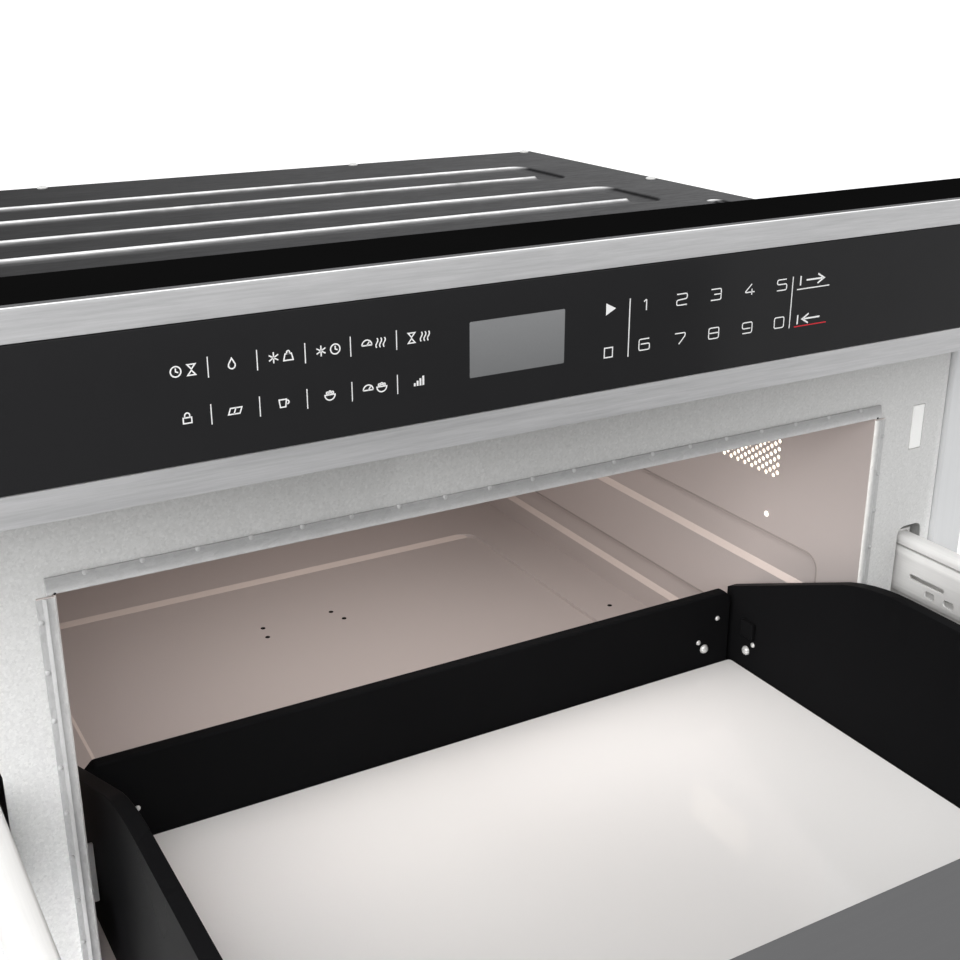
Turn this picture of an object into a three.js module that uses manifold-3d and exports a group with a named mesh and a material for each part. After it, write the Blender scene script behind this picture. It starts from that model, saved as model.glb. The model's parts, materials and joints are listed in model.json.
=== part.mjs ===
// A built-in microwave drawer, in millimetres, +Z up, the door towards -Y.
//
// The source works in the frame of the front plate: x = 0 on the centre plane, y = 0 on the
// plate's front face, z = 0 under the base pan. The outermost group moves that frame so that the
// part's origin is the middle of the base pan's underside.
// The drawer stands open, and it slides towards +Y to close.

import * as THREE from 'three';
import { mergeVertices } from 'three/addons/utils/BufferGeometryUtils.js';
import Module from 'manifold-3d';

const wasm = await Module();
wasm.setup();

// ---------------------------------------------------------------- driving dimensions

const GAP = 0.3; // air between neighbouring pieces
const SHEET = 0.8; // cabinet, cavity and basket sheet
const PLATE = 1; // front plate, fascia and door skin sheet

const CABINET_WIDTH = 556;
const CABINET_DEPTH = 455;
const CABINET_HEIGHT = 371;
const BASE_FLANGE = 20;

const FRONT_OVERHANG = 25; // fascia and door beyond each side of the cabinet
const FASCIA_RISE = 36.6; // fascia above the top cover
const FASCIA_HEIGHT = 77.6;
const FASCIA_DEPTH = 50;
const FASCIA_RETURN = 4.5; // top return of the stainless shell
const FASCIA_RADIUS = 1.4;

const GLASS_SIDE_MARGIN = 13; // steel beside the control glass
const GLASS_TOP_MARGIN = 12.5;
const GLASS_BOTTOM_MARGIN = 12.7;
const GLASS_THICKNESS = 4;
const DISPLAY = { left: -61.2, width: 45.4, height: 23, belowGlassTop: 14.4 };

const SLIDE_BAY = 55.7; // cabinet's outside to the cavity's inside
const DRIVE_ROOM = 80; // base to the cavity floor
const FEED_ROOM = 91; // cavity roof to the cabinet's top
const REAR_ROOM = 25; // cavity's back to the cabinet's back

const MOUTH_FLANGE = 7; // welded strips round the oven mouth
const MOUTH_CLEARANCE = 0.5; // cavity wall to the plate's edge

const DOOR_THICKNESS = 47;
const DOOR_SEAM = 4; // fascia to door
const DOOR_LIFT = 4; // door's lower edge above the base
const DOOR_STANDOFF = 3; // closed door to front plate
const WINDOW_MARGIN = { side: 98, bottom: 92, top: 80 }; // door edge to its window
const CLOSED_REACH = 87; // length of basket that stays in the cavity when the drawer is open

const BASKET_SIDE_CLEARANCE = 8.8; // basket to cavity wall
const BASKET_REAR_CLEARANCE = 6.5; // closed basket to the cavity's back
const BASKET_SIDE_HEIGHT = 96.5; // above the ceramic floor
const BASKET_REAR_HEIGHT = 49;
const BASKET_WALL = 7.5; // folded double wall
const BASKET_SWEEP = { end: 89, start: 133, drop: 7.5 }; // side's upper edge, from its rear
const BASKET_LIFT = 4.8; // basket pan above the cavity floor
const TRAY_THICKNESS = 4;
const TRAY_LIFT = 5.4; // ribs of the pan that carry the ceramic floor

const SLIDE = { inset: 22, thickness: 12.7, height: 45, aboveFloor: 78, sheet: 1.2 };
const SLIDE_START = 6; // front end of the fixed rail behind the plate's face
const SLIDE_END = 19; // rear end of the fixed rail to the cabinet's back

const LATCH = { inset: 20.9, width: 9.3, belowRoof: 24, height: 26.4 };
const PLUNGER_LENGTH = 12;
const PLUNGER_TRAVEL = 6;

const GEAR_MODULE = 2.5;
const PINION_TEETH = 12;
const RACK_BELOW_CAVITY = 30; // cavity floor to the rack's pitch line
const RACK_WIDTH = 12;
const RACK_BODY = 9.5; // rack above its tooth roots
const PINION_Y = 46;
const SHAFT_RADIUS = 4;

const FAN = { inset: 105.5, aboveRoof: 42.9, size: 80, depth: 25, rotor: 36 };
const STIRRER = { opening: 170, radius: 72, box: 20 };
const LAMP_SCREEN = { y: 72, belowRoof: 59, columns: 14, rows: 6, pitch: 5.35, hole: 3.4 };

// ---------------------------------------------------------------- derived places

const CAB_X = CABINET_WIDTH / 2;
const INNER_X = CAB_X - SHEET - GAP; // inside the side panels
const FRONT_X = CAB_X + FRONT_OVERHANG;
const FRONT_TOP = CABINET_HEIGHT + FASCIA_RISE;
const REAR_INNER = CABINET_DEPTH - SHEET - GAP; // inside the rear panel
const FASCIA_BOTTOM = FRONT_TOP - FASCIA_HEIGHT;
const CAV_X = CAB_X - SLIDE_BAY;
const CAVITY_FLOOR = DRIVE_ROOM;
const CAVITY_TOP = CABINET_HEIGHT - FEED_ROOM;
const CAVITY_DEPTH = CABINET_DEPTH - REAR_ROOM;
const ROOF = CAVITY_TOP + SHEET + GAP; // where pieces stand on the cavity
const DOOR_TOP = FASCIA_BOTTOM - DOOR_SEAM;
const BASKET_X = CAV_X - BASKET_SIDE_CLEARANCE - BASKET_WALL;
const BASKET_LENGTH = CAVITY_DEPTH + DOOR_STANDOFF - BASKET_REAR_CLEARANCE - BASKET_WALL;
const TRAVEL = BASKET_LENGTH - CLOSED_REACH;
const PAN_BOTTOM = CAVITY_FLOOR + BASKET_LIFT;
const WALL_BOTTOM = PAN_BOTTOM + SHEET + GAP;
const TRAY_TOP = PAN_BOTTOM + SHEET + TRAY_LIFT + GAP + TRAY_THICKNESS;
const SLIDE_INSIDE = CAB_X - SLIDE.inset;
const SLIDE_OUTSIDE = SLIDE_INSIDE + SLIDE.thickness;
const SLIDE_BOTTOM = CAVITY_FLOOR + SLIDE.aboveFloor;
const SLIDE_TOP = SLIDE_BOTTOM + SLIDE.height;
const SLIDE_LENGTH = CABINET_DEPTH - SLIDE_START - SLIDE_END;
const LATCH_X = CAB_X - LATCH.inset;
const LATCH_BOTTOM = CAVITY_TOP - LATCH.belowRoof;
const LATCH_TOP = LATCH_BOTTOM + LATCH.height;
const GLASS_TOP = FRONT_TOP - GLASS_TOP_MARGIN;
const GLASS_BOTTOM = FASCIA_BOTTOM + GLASS_BOTTOM_MARGIN;
const GLASS_X = FRONT_X - GLASS_SIDE_MARGIN;
const GLASS_BACK = -FASCIA_DEPTH + GLASS_THICKNESS - 0.4;
const RACK_PITCH_HEIGHT = CAVITY_FLOOR - RACK_BELOW_CAVITY;
const PITCH_RADIUS = (GEAR_MODULE * PINION_TEETH) / 2;
const PINION_Z = RACK_PITCH_HEIGHT - PITCH_RADIUS;
const TOOTH_ADDENDUM = GEAR_MODULE * 0.9;
const TOOTH_DEDENDUM = GEAR_MODULE * 1.25;
const RACK_TOP = RACK_PITCH_HEIGHT + TOOTH_DEDENDUM + RACK_BODY;
const FAN_X = CAB_X - FAN.inset;
const FAN_Z = ROOF + FAN.aboveRoof;
const STIRRER_Y = CAVITY_DEPTH / 2;
const SCREEN_BOTTOM = CAVITY_TOP - LAMP_SCREEN.belowRoof;
const SIDES = { left: -1, right: 1 };

// ---------------------------------------------------------------- shapes and solids

// Turns a closed three.js geometry into a solid that can be joined and cut.
function solidOf(geometry) {
  geometry.deleteAttribute('normal');
  geometry.deleteAttribute('uv');
  const merged = mergeVertices(geometry, 1e-4);
  return new wasm.Manifold(new wasm.Mesh({
    numProp: 3,
    vertProperties: new Float32Array(merged.attributes.position.array),
    triVerts: new Uint32Array(merged.index.array),
  }));
}

// Turns a solid back into a three.js geometry.
function geometryOf(solid) {
  const { vertProperties, triVerts } = solid.getMesh();
  const geometry = new THREE.BufferGeometry();
  geometry.setAttribute('position', new THREE.BufferAttribute(vertProperties, 3));
  geometry.setIndex(new THREE.BufferAttribute(triVerts, 1));
  geometry.computeVertexNormals();
  return geometry;
}

// A block between two values on each axis.
function block([x0, x1], [y0, y1], [z0, z1]) {
  const geometry = new THREE.BoxGeometry(Math.abs(x1 - x0), y1 - y0, z1 - z0);
  geometry.translate((x0 + x1) / 2, (y0 + y1) / 2, (z0 + z1) / 2);
  return solidOf(geometry);
}

// A pair of x values on one side of the centre plane, lowest first.
function across(side, inner, outer) {
  return side > 0 ? [inner, outer] : [-outer, -inner];
}

const AXES = {
  x: new THREE.Matrix4().makeBasis(
    new THREE.Vector3(0, 1, 0), new THREE.Vector3(0, 0, 1), new THREE.Vector3(1, 0, 0)),
  y: new THREE.Matrix4().makeBasis(
    new THREE.Vector3(1, 0, 0), new THREE.Vector3(0, 0, 1), new THREE.Vector3(0, -1, 0)),
  z: new THREE.Matrix4(),
};

// Extrudes an outline along an axis. Its points are (y, z) for x, (x, z) for y, (x, y) for z.
function prism(points, axis, [from, to]) {
  const shape = new THREE.Shape(points.map(([a, b]) => new THREE.Vector2(a, b)));
  const geometry = new THREE.ExtrudeGeometry(shape, { depth: to - from, bevelEnabled: false });
  geometry.applyMatrix4(AXES[axis]);
  const start = axis === 'y' ? to : from;
  geometry.translate(axis === 'x' ? start : 0, axis === 'y' ? start : 0, axis === 'z' ? start : 0);
  return solidOf(geometry);
}

// Points of an arc, both ends included.
function arc(centreA, centreB, radius, fromDeg, toDeg, steps) {
  return Array.from({ length: steps + 1 }, (_, i) => {
    const angle = THREE.MathUtils.degToRad(fromDeg + ((toDeg - fromDeg) * i) / steps);
    return [centreA + radius * Math.cos(angle), centreB + radius * Math.sin(angle)];
  });
}

// Outline of a rectangle with rounded corners.
function rounded([a0, a1], [b0, b1], radius, steps = 3) {
  return [
    ...arc(a1 - radius, b1 - radius, radius, 0, 90, steps),
    ...arc(a0 + radius, b1 - radius, radius, 90, 180, steps),
    ...arc(a0 + radius, b0 + radius, radius, 180, 270, steps),
    ...arc(a1 - radius, b0 + radius, radius, 270, 360, steps),
  ];
}

// A round bar along an axis, its centre given on the other two axes in order.
function rod(axis, [a, b], radius, span, sides = 20) {
  return prism(arc(a, b, radius, 0, 360 - 360 / sides, sides - 1), axis, span);
}

function join(...solids) {
  return solids.reduce((whole, solid) => whole.add(solid));
}

function cut(body, ...tools) {
  return tools.reduce((rest, tool) => rest.subtract(tool), body);
}

// A pressed recess: a pocket cut into a sheet from the near side, with a wall behind it.
function press(sheet, pocket, backing) {
  return sheet.add(backing).subtract(pocket);
}

// ---------------------------------------------------------------- finishes and nodes

const FINISHES = {
  galvanised: { color: 0xc4c4c2, roughness: 0.42, metalness: 0.7 },
  darkSteel: { color: 0x5c5c5e, roughness: 0.4, metalness: 0.8 },
  stainless: { color: 0xbdbdbd, roughness: 0.32, metalness: 0.9 },
  enamel: { color: 0x9a8a84, roughness: 0.4, metalness: 0.1 },
  black: { color: 0x101010, roughness: 0.45, metalness: 0 },
  blackGlass: { color: 0x2c2c2c, roughness: 0.12, metalness: 0 },
  display: { color: 0x8c8c8c, roughness: 0.3, metalness: 0 },
  ceramic: { color: 0xe6e4e1, roughness: 0.25, metalness: 0 },
  zinc: { color: 0xd6d4d0, roughness: 0.3, metalness: 0.8 },
  nylon: { color: 0xe2e2de, roughness: 0.5, metalness: 0 },
  board: { color: 0x2f5d3a, roughness: 0.6, metalness: 0 },
  copper: { color: 0xa8693a, roughness: 0.45, metalness: 0.6 },
  clearGlass: { color: 0xf2f2ea, roughness: 0.1, metalness: 0 },
};

function node(parent, name, solid, finish) {
  const mesh = new THREE.Mesh(geometryOf(solid), new THREE.MeshStandardMaterial(FINISHES[finish]));
  mesh.name = name;
  parent.add(mesh);
}

// ---------------------------------------------------------------- cabinet shell

function basePan() {
  const x = [-INNER_X, INNER_X];
  const y = [PLATE + GAP, REAR_INNER];
  const tub = block(x, y, [0, BASE_FLANGE]);
  const inside = block([x[0] + SHEET, x[1] - SHEET], [y[0] + SHEET, y[1] - SHEET], [SHEET, BASE_FLANGE + 1]);
  return cut(tub, inside);
}

const TOP_UNDERSIDE = CABINET_HEIGHT - SHEET;
const SIDE_TOP = TOP_UNDERSIDE - GAP;
const SIDE_FLANGE = 13; // folded edge that carries the top cover
const FRONT_EDGE = 5; // narrow front fold, clear of the slides

function sidePanel(side) {
  const front = PLATE + GAP;
  const inner = CAB_X - SHEET;
  const wall = block(across(side, inner, CAB_X), [front, CABINET_DEPTH], [PLATE, SIDE_TOP]);
  const topFold = block(
    across(side, inner - SIDE_FLANGE, CAB_X), [front, REAR_INNER], [SIDE_TOP - SHEET, SIDE_TOP]);
  const frontFold = block(
    across(side, inner - FRONT_EDGE, CAB_X), [front, front + SHEET], [BASE_FLANGE + PLATE, SIDE_TOP]);
  return join(wall, topFold, frontFold);
}

// Pressed racetrack grooves of the top cover: the ring's outer edge, front and rear.
const TOP_RINGS = [[256, 184], [142, 71]].map((fromRear) => fromRear.map((y) => CABINET_DEPTH - y));
const TOP_RING_END = CAB_X - 50; // half length of a ring
const TOP_RING_GROOVE = 20;
const TOP_GROOVE_DEPTH = 3;
const TOP_RING_RADIUS = 14;
const SHORT_GROOVE = { x: CAB_X - 26, half: 7, front: 40, rear: CABINET_DEPTH - 267 };

// One pressed ring, as the difference of two rounded outlines, widened by margin.
function ringAt([front, rear], margin, zSpan) {
  const outer = rounded(
    [-TOP_RING_END - margin, TOP_RING_END + margin], [front - margin, rear + margin],
    TOP_RING_RADIUS + margin);
  const inset = TOP_RING_GROOVE + margin;
  const inner = rounded(
    [-TOP_RING_END + inset, TOP_RING_END - inset], [front + inset, rear - inset],
    Math.max(TOP_RING_RADIUS - inset, 4));
  return cut(prism(outer, 'z', zSpan), prism(inner, 'z', [zSpan[0] - 1, zSpan[1] + 1]));
}

function topCover() {
  const floor = CABINET_HEIGHT - TOP_GROOVE_DEPTH;
  const pocketSpan = [floor, CABINET_HEIGHT + 1];
  const backingSpan = [floor - SHEET, CABINET_HEIGHT];
  let sheet = block([-CAB_X, CAB_X], [PLATE + GAP, CABINET_DEPTH], [TOP_UNDERSIDE, CABINET_HEIGHT]);
  for (const ring of TOP_RINGS) {
    sheet = press(sheet, ringAt(ring, 0, pocketSpan), ringAt(ring, SHEET, backingSpan));
  }
  for (const side of Object.values(SIDES)) {
    const outline = (margin) => rounded(
      across(side, SHORT_GROOVE.x - SHORT_GROOVE.half - margin, SHORT_GROOVE.x + SHORT_GROOVE.half + margin),
      [SHORT_GROOVE.front - margin, SHORT_GROOVE.rear + margin], SHORT_GROOVE.half);
    sheet = press(sheet, prism(outline(0), 'z', pocketSpan), prism(outline(SHEET), 'z', backingSpan));
  }
  return sheet;
}

const GRILLE = { slots: 7, pitch: 10, slot: 4, halfWidth: 34 };
const LOUVRES = { x: -CAB_X + 128, z: CAVITY_TOP + 20, slots: 6, pitch: 12, slot: 4, halfWidth: 70 };
const GLAND = { x: CAB_X - 63, z: 34, hole: 9, flange: 13, bore: 5 };

function rearPanel() {
  const y = [CABINET_DEPTH - SHEET, CABINET_DEPTH];
  const through = [y[0] - 1, y[1] + 1];
  const sheet = block([-INNER_X, INNER_X], y, [SHEET + GAP, SIDE_TOP]);
  const rows = [
    { centre: FAN_X, height: FAN_Z, ...GRILLE },
    { centre: LOUVRES.x, height: LOUVRES.z, ...LOUVRES },
  ];
  const slots = rows.flatMap((row) => Array.from({ length: row.slots }, (_, i) => {
    const z = row.height + (i - (row.slots - 1) / 2) * row.pitch;
    const x = [row.centre - row.halfWidth, row.centre + row.halfWidth];
    return prism(rounded(x, [z - row.slot / 2, z + row.slot / 2], row.slot / 2), 'y', through);
  }));
  return cut(sheet, ...slots, rod('y', [GLAND.x, GLAND.z], GLAND.hole + GAP, through));
}

function cordGland() {
  const inner = [CABINET_DEPTH - SHEET - 6, CABINET_DEPTH + GAP + 1];
  const body = join(
    rod('y', [GLAND.x, GLAND.z], GLAND.hole, inner),
    rod('y', [GLAND.x, GLAND.z], GLAND.flange, [CABINET_DEPTH + GAP, CABINET_DEPTH + 4]));
  return cut(body, rod('y', [GLAND.x, GLAND.z], GLAND.bore, [inner[0] - 1, CABINET_DEPTH + 5]));
}

// ---------------------------------------------------------------- front plate and flanges

const SLIDE_SLOT = {
  inner: SLIDE_INSIDE - 4,
  outer: SLIDE_OUTSIDE + 2.3,
  bottom: SLIDE_BOTTOM - 8,
  top: SLIDE_TOP + 5,
  radius: 5,
};
const RACK_FOOT = { half: 18, bottom: RACK_PITCH_HEIGHT - 8, top: RACK_TOP + 2, thickness: 3 };
const RACK_SLOT = { half: RACK_FOOT.half + 4, bottom: RACK_FOOT.bottom - 4, top: RACK_FOOT.top + 3.375 };
const LOOM_HOLE = { half: 18, bottom: FASCIA_BOTTOM + 16, top: FASCIA_BOTTOM + 34 };
const PLATE_TOP = FRONT_TOP - 2;

function frontPlate() {
  const through = [-1, PLATE + 1];
  const edge = SHEET + MOUTH_CLEARANCE;
  const plate = block([-CAB_X + 0.2, CAB_X - 0.2], [0, PLATE], [SHEET + GAP, PLATE_TOP]);
  const mouth = block([-CAV_X - edge, CAV_X + edge], through, [CAVITY_FLOOR - edge, CAVITY_TOP + edge]);
  const holes = [
    mouth,
    prism(rounded([-RACK_SLOT.half, RACK_SLOT.half], [RACK_SLOT.bottom, RACK_SLOT.top], 4), 'y', through),
    prism(rounded([-LOOM_HOLE.half, LOOM_HOLE.half], [LOOM_HOLE.bottom, LOOM_HOLE.top], 4), 'y', through),
  ];
  for (const side of Object.values(SIDES)) {
    const slideX = across(side, SLIDE_SLOT.inner, SLIDE_SLOT.outer);
    const latchX = across(side, LATCH_X - LATCH.width / 2, LATCH_X + LATCH.width / 2);
    const slideZ = [SLIDE_SLOT.bottom, SLIDE_SLOT.top];
    holes.push(prism(rounded(slideX, slideZ, SLIDE_SLOT.radius), 'y', through));
    holes.push(block(latchX, through, [LATCH_BOTTOM, LATCH_TOP]));
  }
  return cut(plate, ...holes);
}

const FLANGE_LEG = 26; // along the cabinet's side
const FLANGE_PROUD = 2.6; // in front of the plate

function sideFlange(side) {
  const z = [DOOR_LIFT + 2, FASCIA_BOTTOM - 2];
  const inner = CAB_X + GAP;
  const face = block(across(side, inner, FRONT_X - 0.5), [-FLANGE_PROUD, -FLANGE_PROUD + PLATE], z);
  const leg = block(across(side, inner, inner + PLATE), [-FLANGE_PROUD, FLANGE_LEG], z);
  return join(face, leg);
}

// ---------------------------------------------------------------- oven cavity

const CHANNEL_DEPTH = 3;
const CHANNEL_Y = [32, CAVITY_DEPTH - 12];
const CHANNELS = [
  { z: [CAVITY_FLOOR + 16, CAVITY_FLOOR + 37], radius: 8 },
  { z: [CAVITY_FLOOR + 77, CAVITY_FLOOR + 103], radius: 10 },
];
const FLOOR_PANEL = { half: CAV_X - 43.8, y: [40, CAVITY_DEPTH - 51.4], radius: 14, depth: 2.5 };
const FLANGE_FRONT = -SHEET - GAP; // mouth strips lie on the plate's face
const SCREEN_WINDOW_MARGIN = 4;
const SCREEN_ROW = LAMP_SCREEN.pitch;
const SCREEN_COLUMN = LAMP_SCREEN.pitch * Math.sin(Math.PI / 3); // staggered rows
const SCREEN_Y = [LAMP_SCREEN.y - SCREEN_COLUMN, LAMP_SCREEN.y + SCREEN_COLUMN * LAMP_SCREEN.columns];
const SCREEN_Z = [SCREEN_BOTTOM - SCREEN_ROW, SCREEN_BOTTOM + SCREEN_ROW * (LAMP_SCREEN.rows + 0.5)];

function mouthStrips() {
  const y = [FLANGE_FRONT, -GAP];
  const outer = CAV_X + MOUTH_FLANGE + SHEET;
  return [
    block([-CAV_X, CAV_X], y, [CAVITY_TOP, CAVITY_TOP + MOUTH_FLANGE]),
    block([-CAV_X, CAV_X], y, [CAVITY_FLOOR - MOUTH_FLANGE, CAVITY_FLOOR]),
    block([-outer, -CAV_X], y, [CAVITY_FLOOR, CAVITY_TOP - 1]),
    block([CAV_X, outer], y, [CAVITY_FLOOR, CAVITY_TOP - 1]),
  ];
}

function cavityLiner() {
  const skin = block(
    [-CAV_X - SHEET, CAV_X + SHEET], [FLANGE_FRONT, CAVITY_DEPTH + SHEET],
    [CAVITY_FLOOR - SHEET, CAVITY_TOP + SHEET]);
  const room = block([-CAV_X, CAV_X], [FLANGE_FRONT - 1, CAVITY_DEPTH], [CAVITY_FLOOR, CAVITY_TOP]);
  let liner = join(skin, ...mouthStrips());
  const pockets = [room];
  for (const { z, radius } of CHANNELS) {
    for (const side of Object.values(SIDES)) {
      const wide = rounded(
        [CHANNEL_Y[0] - SHEET, CHANNEL_Y[1] + SHEET], [z[0] - SHEET, z[1] + SHEET], radius + SHEET);
      liner = liner.add(prism(wide, 'x', across(side, CAV_X, CAV_X + CHANNEL_DEPTH + SHEET)));
      pockets.push(prism(rounded(CHANNEL_Y, z, radius), 'x', across(side, CAV_X - 1, CAV_X + CHANNEL_DEPTH)));
    }
  }
  const { half, y, radius, depth } = FLOOR_PANEL;
  const wide = rounded([-half - SHEET, half + SHEET], [y[0] - SHEET, y[1] + SHEET], radius + SHEET);
  liner = liner.add(prism(wide, 'z', [CAVITY_FLOOR - depth - SHEET, CAVITY_FLOOR]));
  pockets.push(prism(rounded([-half, half], y, radius), 'z', [CAVITY_FLOOR - depth, CAVITY_FLOOR + 1]));
  const port = STIRRER.opening / 2;
  pockets.push(block(
    [-port, port], [STIRRER_Y - port, STIRRER_Y + port], [CAVITY_TOP - 1, CAVITY_TOP + SHEET + 1]));
  pockets.push(block([CAV_X - 1, CAV_X + SHEET + 1], SCREEN_Y, SCREEN_Z));
  return cut(liner, ...pockets);
}

function lampScreen() {
  const grow = SCREEN_WINDOW_MARGIN;
  const x = [CAV_X + SHEET + GAP, CAV_X + 2 * SHEET + GAP];
  const sheet = block(
    x, [SCREEN_Y[0] - grow, SCREEN_Y[1] + grow], [SCREEN_Z[0] - grow, SCREEN_Z[1] + grow]);
  const holes = [];
  for (let column = 0; column < LAMP_SCREEN.columns; column += 1) {
    for (let row = 0; row < LAMP_SCREEN.rows; row += 1) {
      const y = LAMP_SCREEN.y + column * SCREEN_COLUMN;
      const z = SCREEN_BOTTOM + (row + (column % 2) / 2) * SCREEN_ROW;
      holes.push(rod('x', [y, z], LAMP_SCREEN.hole / 2, [x[0] - 1, x[1] + 1], 6));
    }
  }
  return cut(sheet, ...holes);
}

const LAMP_BOX_DEPTH = 27;
const LAMP_WALL = 1.2;
const LAMP_INNER = CAV_X + 2 * SHEET + 2 * GAP; // face of the housing on the screen
const BULB = { radius: 10, y: (SCREEN_Y[0] + SCREEN_Y[1]) / 2, z: (SCREEN_Z[0] + SCREEN_Z[1]) / 2 };

function lampHousing() {
  const y = [SCREEN_Y[0] - SCREEN_WINDOW_MARGIN, SCREEN_Y[1] + SCREEN_WINDOW_MARGIN];
  const z = [SCREEN_Z[0] - SCREEN_WINDOW_MARGIN, SCREEN_Z[1] + SCREEN_WINDOW_MARGIN];
  const box = block([LAMP_INNER, LAMP_INNER + LAMP_BOX_DEPTH], y, z);
  const room = block(
    [LAMP_INNER - 1, LAMP_INNER + LAMP_BOX_DEPTH - LAMP_WALL],
    [y[0] + LAMP_WALL, y[1] - LAMP_WALL], [z[0] + LAMP_WALL, z[1] - LAMP_WALL]);
  const socketHole = rod('x', [BULB.y, BULB.z], BULB.radius * 0.8 + GAP,
    [LAMP_INNER, LAMP_INNER + LAMP_BOX_DEPTH + 1]);
  return cut(box, room, socketHole);
}

function lampBulb() {
  const outside = LAMP_INNER + LAMP_BOX_DEPTH;
  const centre = LAMP_INNER + LAMP_BOX_DEPTH / 2 - 1;
  const globe = new THREE.SphereGeometry(BULB.radius, 16, 10);
  globe.translate(centre, BULB.y, BULB.z);
  return join(
    solidOf(globe),
    rod('x', [BULB.y, BULB.z], BULB.radius * 0.8, [centre, outside + 3]),
    rod('x', [BULB.y, BULB.z], BULB.radius + 2, [outside + GAP, outside + 3]));
}

// ---------------------------------------------------------------- microwave feed and power

const STIRRER_BOX_MARGIN = 5; // stirrer box outside the port in the cavity's roof
const FEED_WALL = 1;
const MAGNETRON = { x: FAN_X, half: 32.5, depthHalf: 40, height: 62, antenna: 8 };
const WAVEGUIDE = { half: 40, end: MAGNETRON.x + 43.5 };

function stirrerBox() {
  const half = STIRRER.opening / 2 + STIRRER_BOX_MARGIN;
  const y = [STIRRER_Y - half, STIRRER_Y + half];
  const top = ROOF + STIRRER.box;
  const box = block([-half, half], y, [ROOF, top]);
  const room = block(
    [-half + FEED_WALL, half - FEED_WALL], [y[0] + FEED_WALL, y[1] - FEED_WALL],
    [ROOF - 1, top - FEED_WALL]);
  const guide = WAVEGUIDE.half - FEED_WALL;
  const inlet = block(
    [half - 2 * FEED_WALL, half + 1], [STIRRER_Y - guide, STIRRER_Y + guide],
    [ROOF + FEED_WALL, top - FEED_WALL]);
  return cut(box, room, inlet, rod('z', [0, STIRRER_Y], 5, [ROOF, top + 1]));
}

function waveguide() {
  const start = STIRRER.opening / 2 + STIRRER_BOX_MARGIN + GAP;
  const y = [STIRRER_Y - WAVEGUIDE.half, STIRRER_Y + WAVEGUIDE.half];
  const top = ROOF + STIRRER.box;
  const tube = block([start, WAVEGUIDE.end], y, [ROOF, top]);
  const room = block(
    [start - 1, WAVEGUIDE.end - FEED_WALL], [y[0] + FEED_WALL, y[1] - FEED_WALL],
    [ROOF + FEED_WALL, top - FEED_WALL]);
  return cut(tube, room, rod('z', [MAGNETRON.x, STIRRER_Y], MAGNETRON.antenna + 2, [ROOF + 5, top + 1]));
}

function magnetron() {
  const bottom = ROOF + STIRRER.box + GAP;
  const top = bottom + MAGNETRON.height;
  const x = [MAGNETRON.x - MAGNETRON.half, MAGNETRON.x + MAGNETRON.half];
  const y = [STIRRER_Y - MAGNETRON.depthHalf, STIRRER_Y + MAGNETRON.depthHalf];
  const yoke = cut(
    block(x, y, [bottom, top]),
    block([x[0] + 2, x[1] - 2], [y[0] - 1, y[1] + 1], [bottom + 2, top - 2]));
  const fins = Array.from({ length: 6 }, (_, i) => {
    const z = bottom + 13 + i * 7;
    return block([x[0] + 1, x[1] - 1], [y[0] + 6, y[1] - 6], [z, z + 1]);
  });
  return join(
    yoke, ...fins,
    rod('z', [MAGNETRON.x, STIRRER_Y], 18, [bottom + 1, top - 1]),
    rod('z', [MAGNETRON.x, STIRRER_Y], MAGNETRON.antenna, [bottom - 13, bottom + 2]),
    block([x[1] - 1, x[1] + 16], [STIRRER_Y - 25, STIRRER_Y + 25], [bottom + 8, top - 10]));
}

const MOTOR_SHAFT_RADIUS = 2;

function stirrerMotor() {
  const bottom = ROOF + STIRRER.box + GAP;
  const can = rod('z', [0, STIRRER_Y], 25, [bottom, bottom + 16], 28);
  const ears = block([-34, 34], [STIRRER_Y - 5, STIRRER_Y + 5], [bottom, bottom + 1.5]);
  return cut(join(can, ears), rod('z', [0, STIRRER_Y], MOTOR_SHAFT_RADIUS + GAP, [bottom - 1, bottom + 8]));
}

function stirrerBlade() {
  const level = ROOF + 7;
  const vanes = Array.from({ length: 4 }, (_, i) => {
    const outline = [[0, -6], [30, -18], [STIRRER.radius, -22], [STIRRER.radius + 3, 0], [30, 10], [0, 6]];
    const turn = (i * Math.PI) / 2;
    const turned = outline.map(([a, b]) => [
      a * Math.cos(turn) - b * Math.sin(turn),
      STIRRER_Y + a * Math.sin(turn) + b * Math.cos(turn),
    ]);
    return prism(turned, 'z', [level, level + 1.2]);
  });
  return join(
    ...vanes,
    rod('z', [0, STIRRER_Y], 9, [level - 2, level + 6]),
    rod('z', [0, STIRRER_Y], MOTOR_SHAFT_RADIUS, [level, ROOF + STIRRER.box + GAP + 7.5]));
}

function stirrerCover() {
  const half = STIRRER.opening / 2 + 7;
  const outline = rounded([-half, half], [STIRRER_Y - half, STIRRER_Y + half], 6);
  return prism(outline, 'z', [CAVITY_TOP - GAP - 2, CAVITY_TOP - GAP]);
}

const TRANSFORMER = {
  x: [-CAB_X + 43, -CAB_X + 128],
  y: [CABINET_DEPTH - 130, CABINET_DEPTH - 35],
  height: 68,
};

function transformer() {
  const floor = SHEET + GAP;
  const { x, y, height } = TRANSFORMER;
  const middle = (x[0] + x[1]) / 2;
  return join(
    block([x[0] - 8, x[1] + 8], [y[0] + 22, y[1] - 22], [floor, floor + 2]),
    block(x, [y[0] + 20, y[1] - 20], [floor, floor + height]),
    prism(rounded([middle - 30, middle + 30], [floor + 10, floor + height - 10], 9), 'y', y),
    block([middle - 18, middle + 18], [y[0] + 30, y[1] - 30], [floor + height - 1, floor + height + 2]));
}

const CAPACITOR = { x: -CAB_X + 183, half: 26, y: [CABINET_DEPTH - 120, CABINET_DEPTH - 30], height: 35 };

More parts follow.
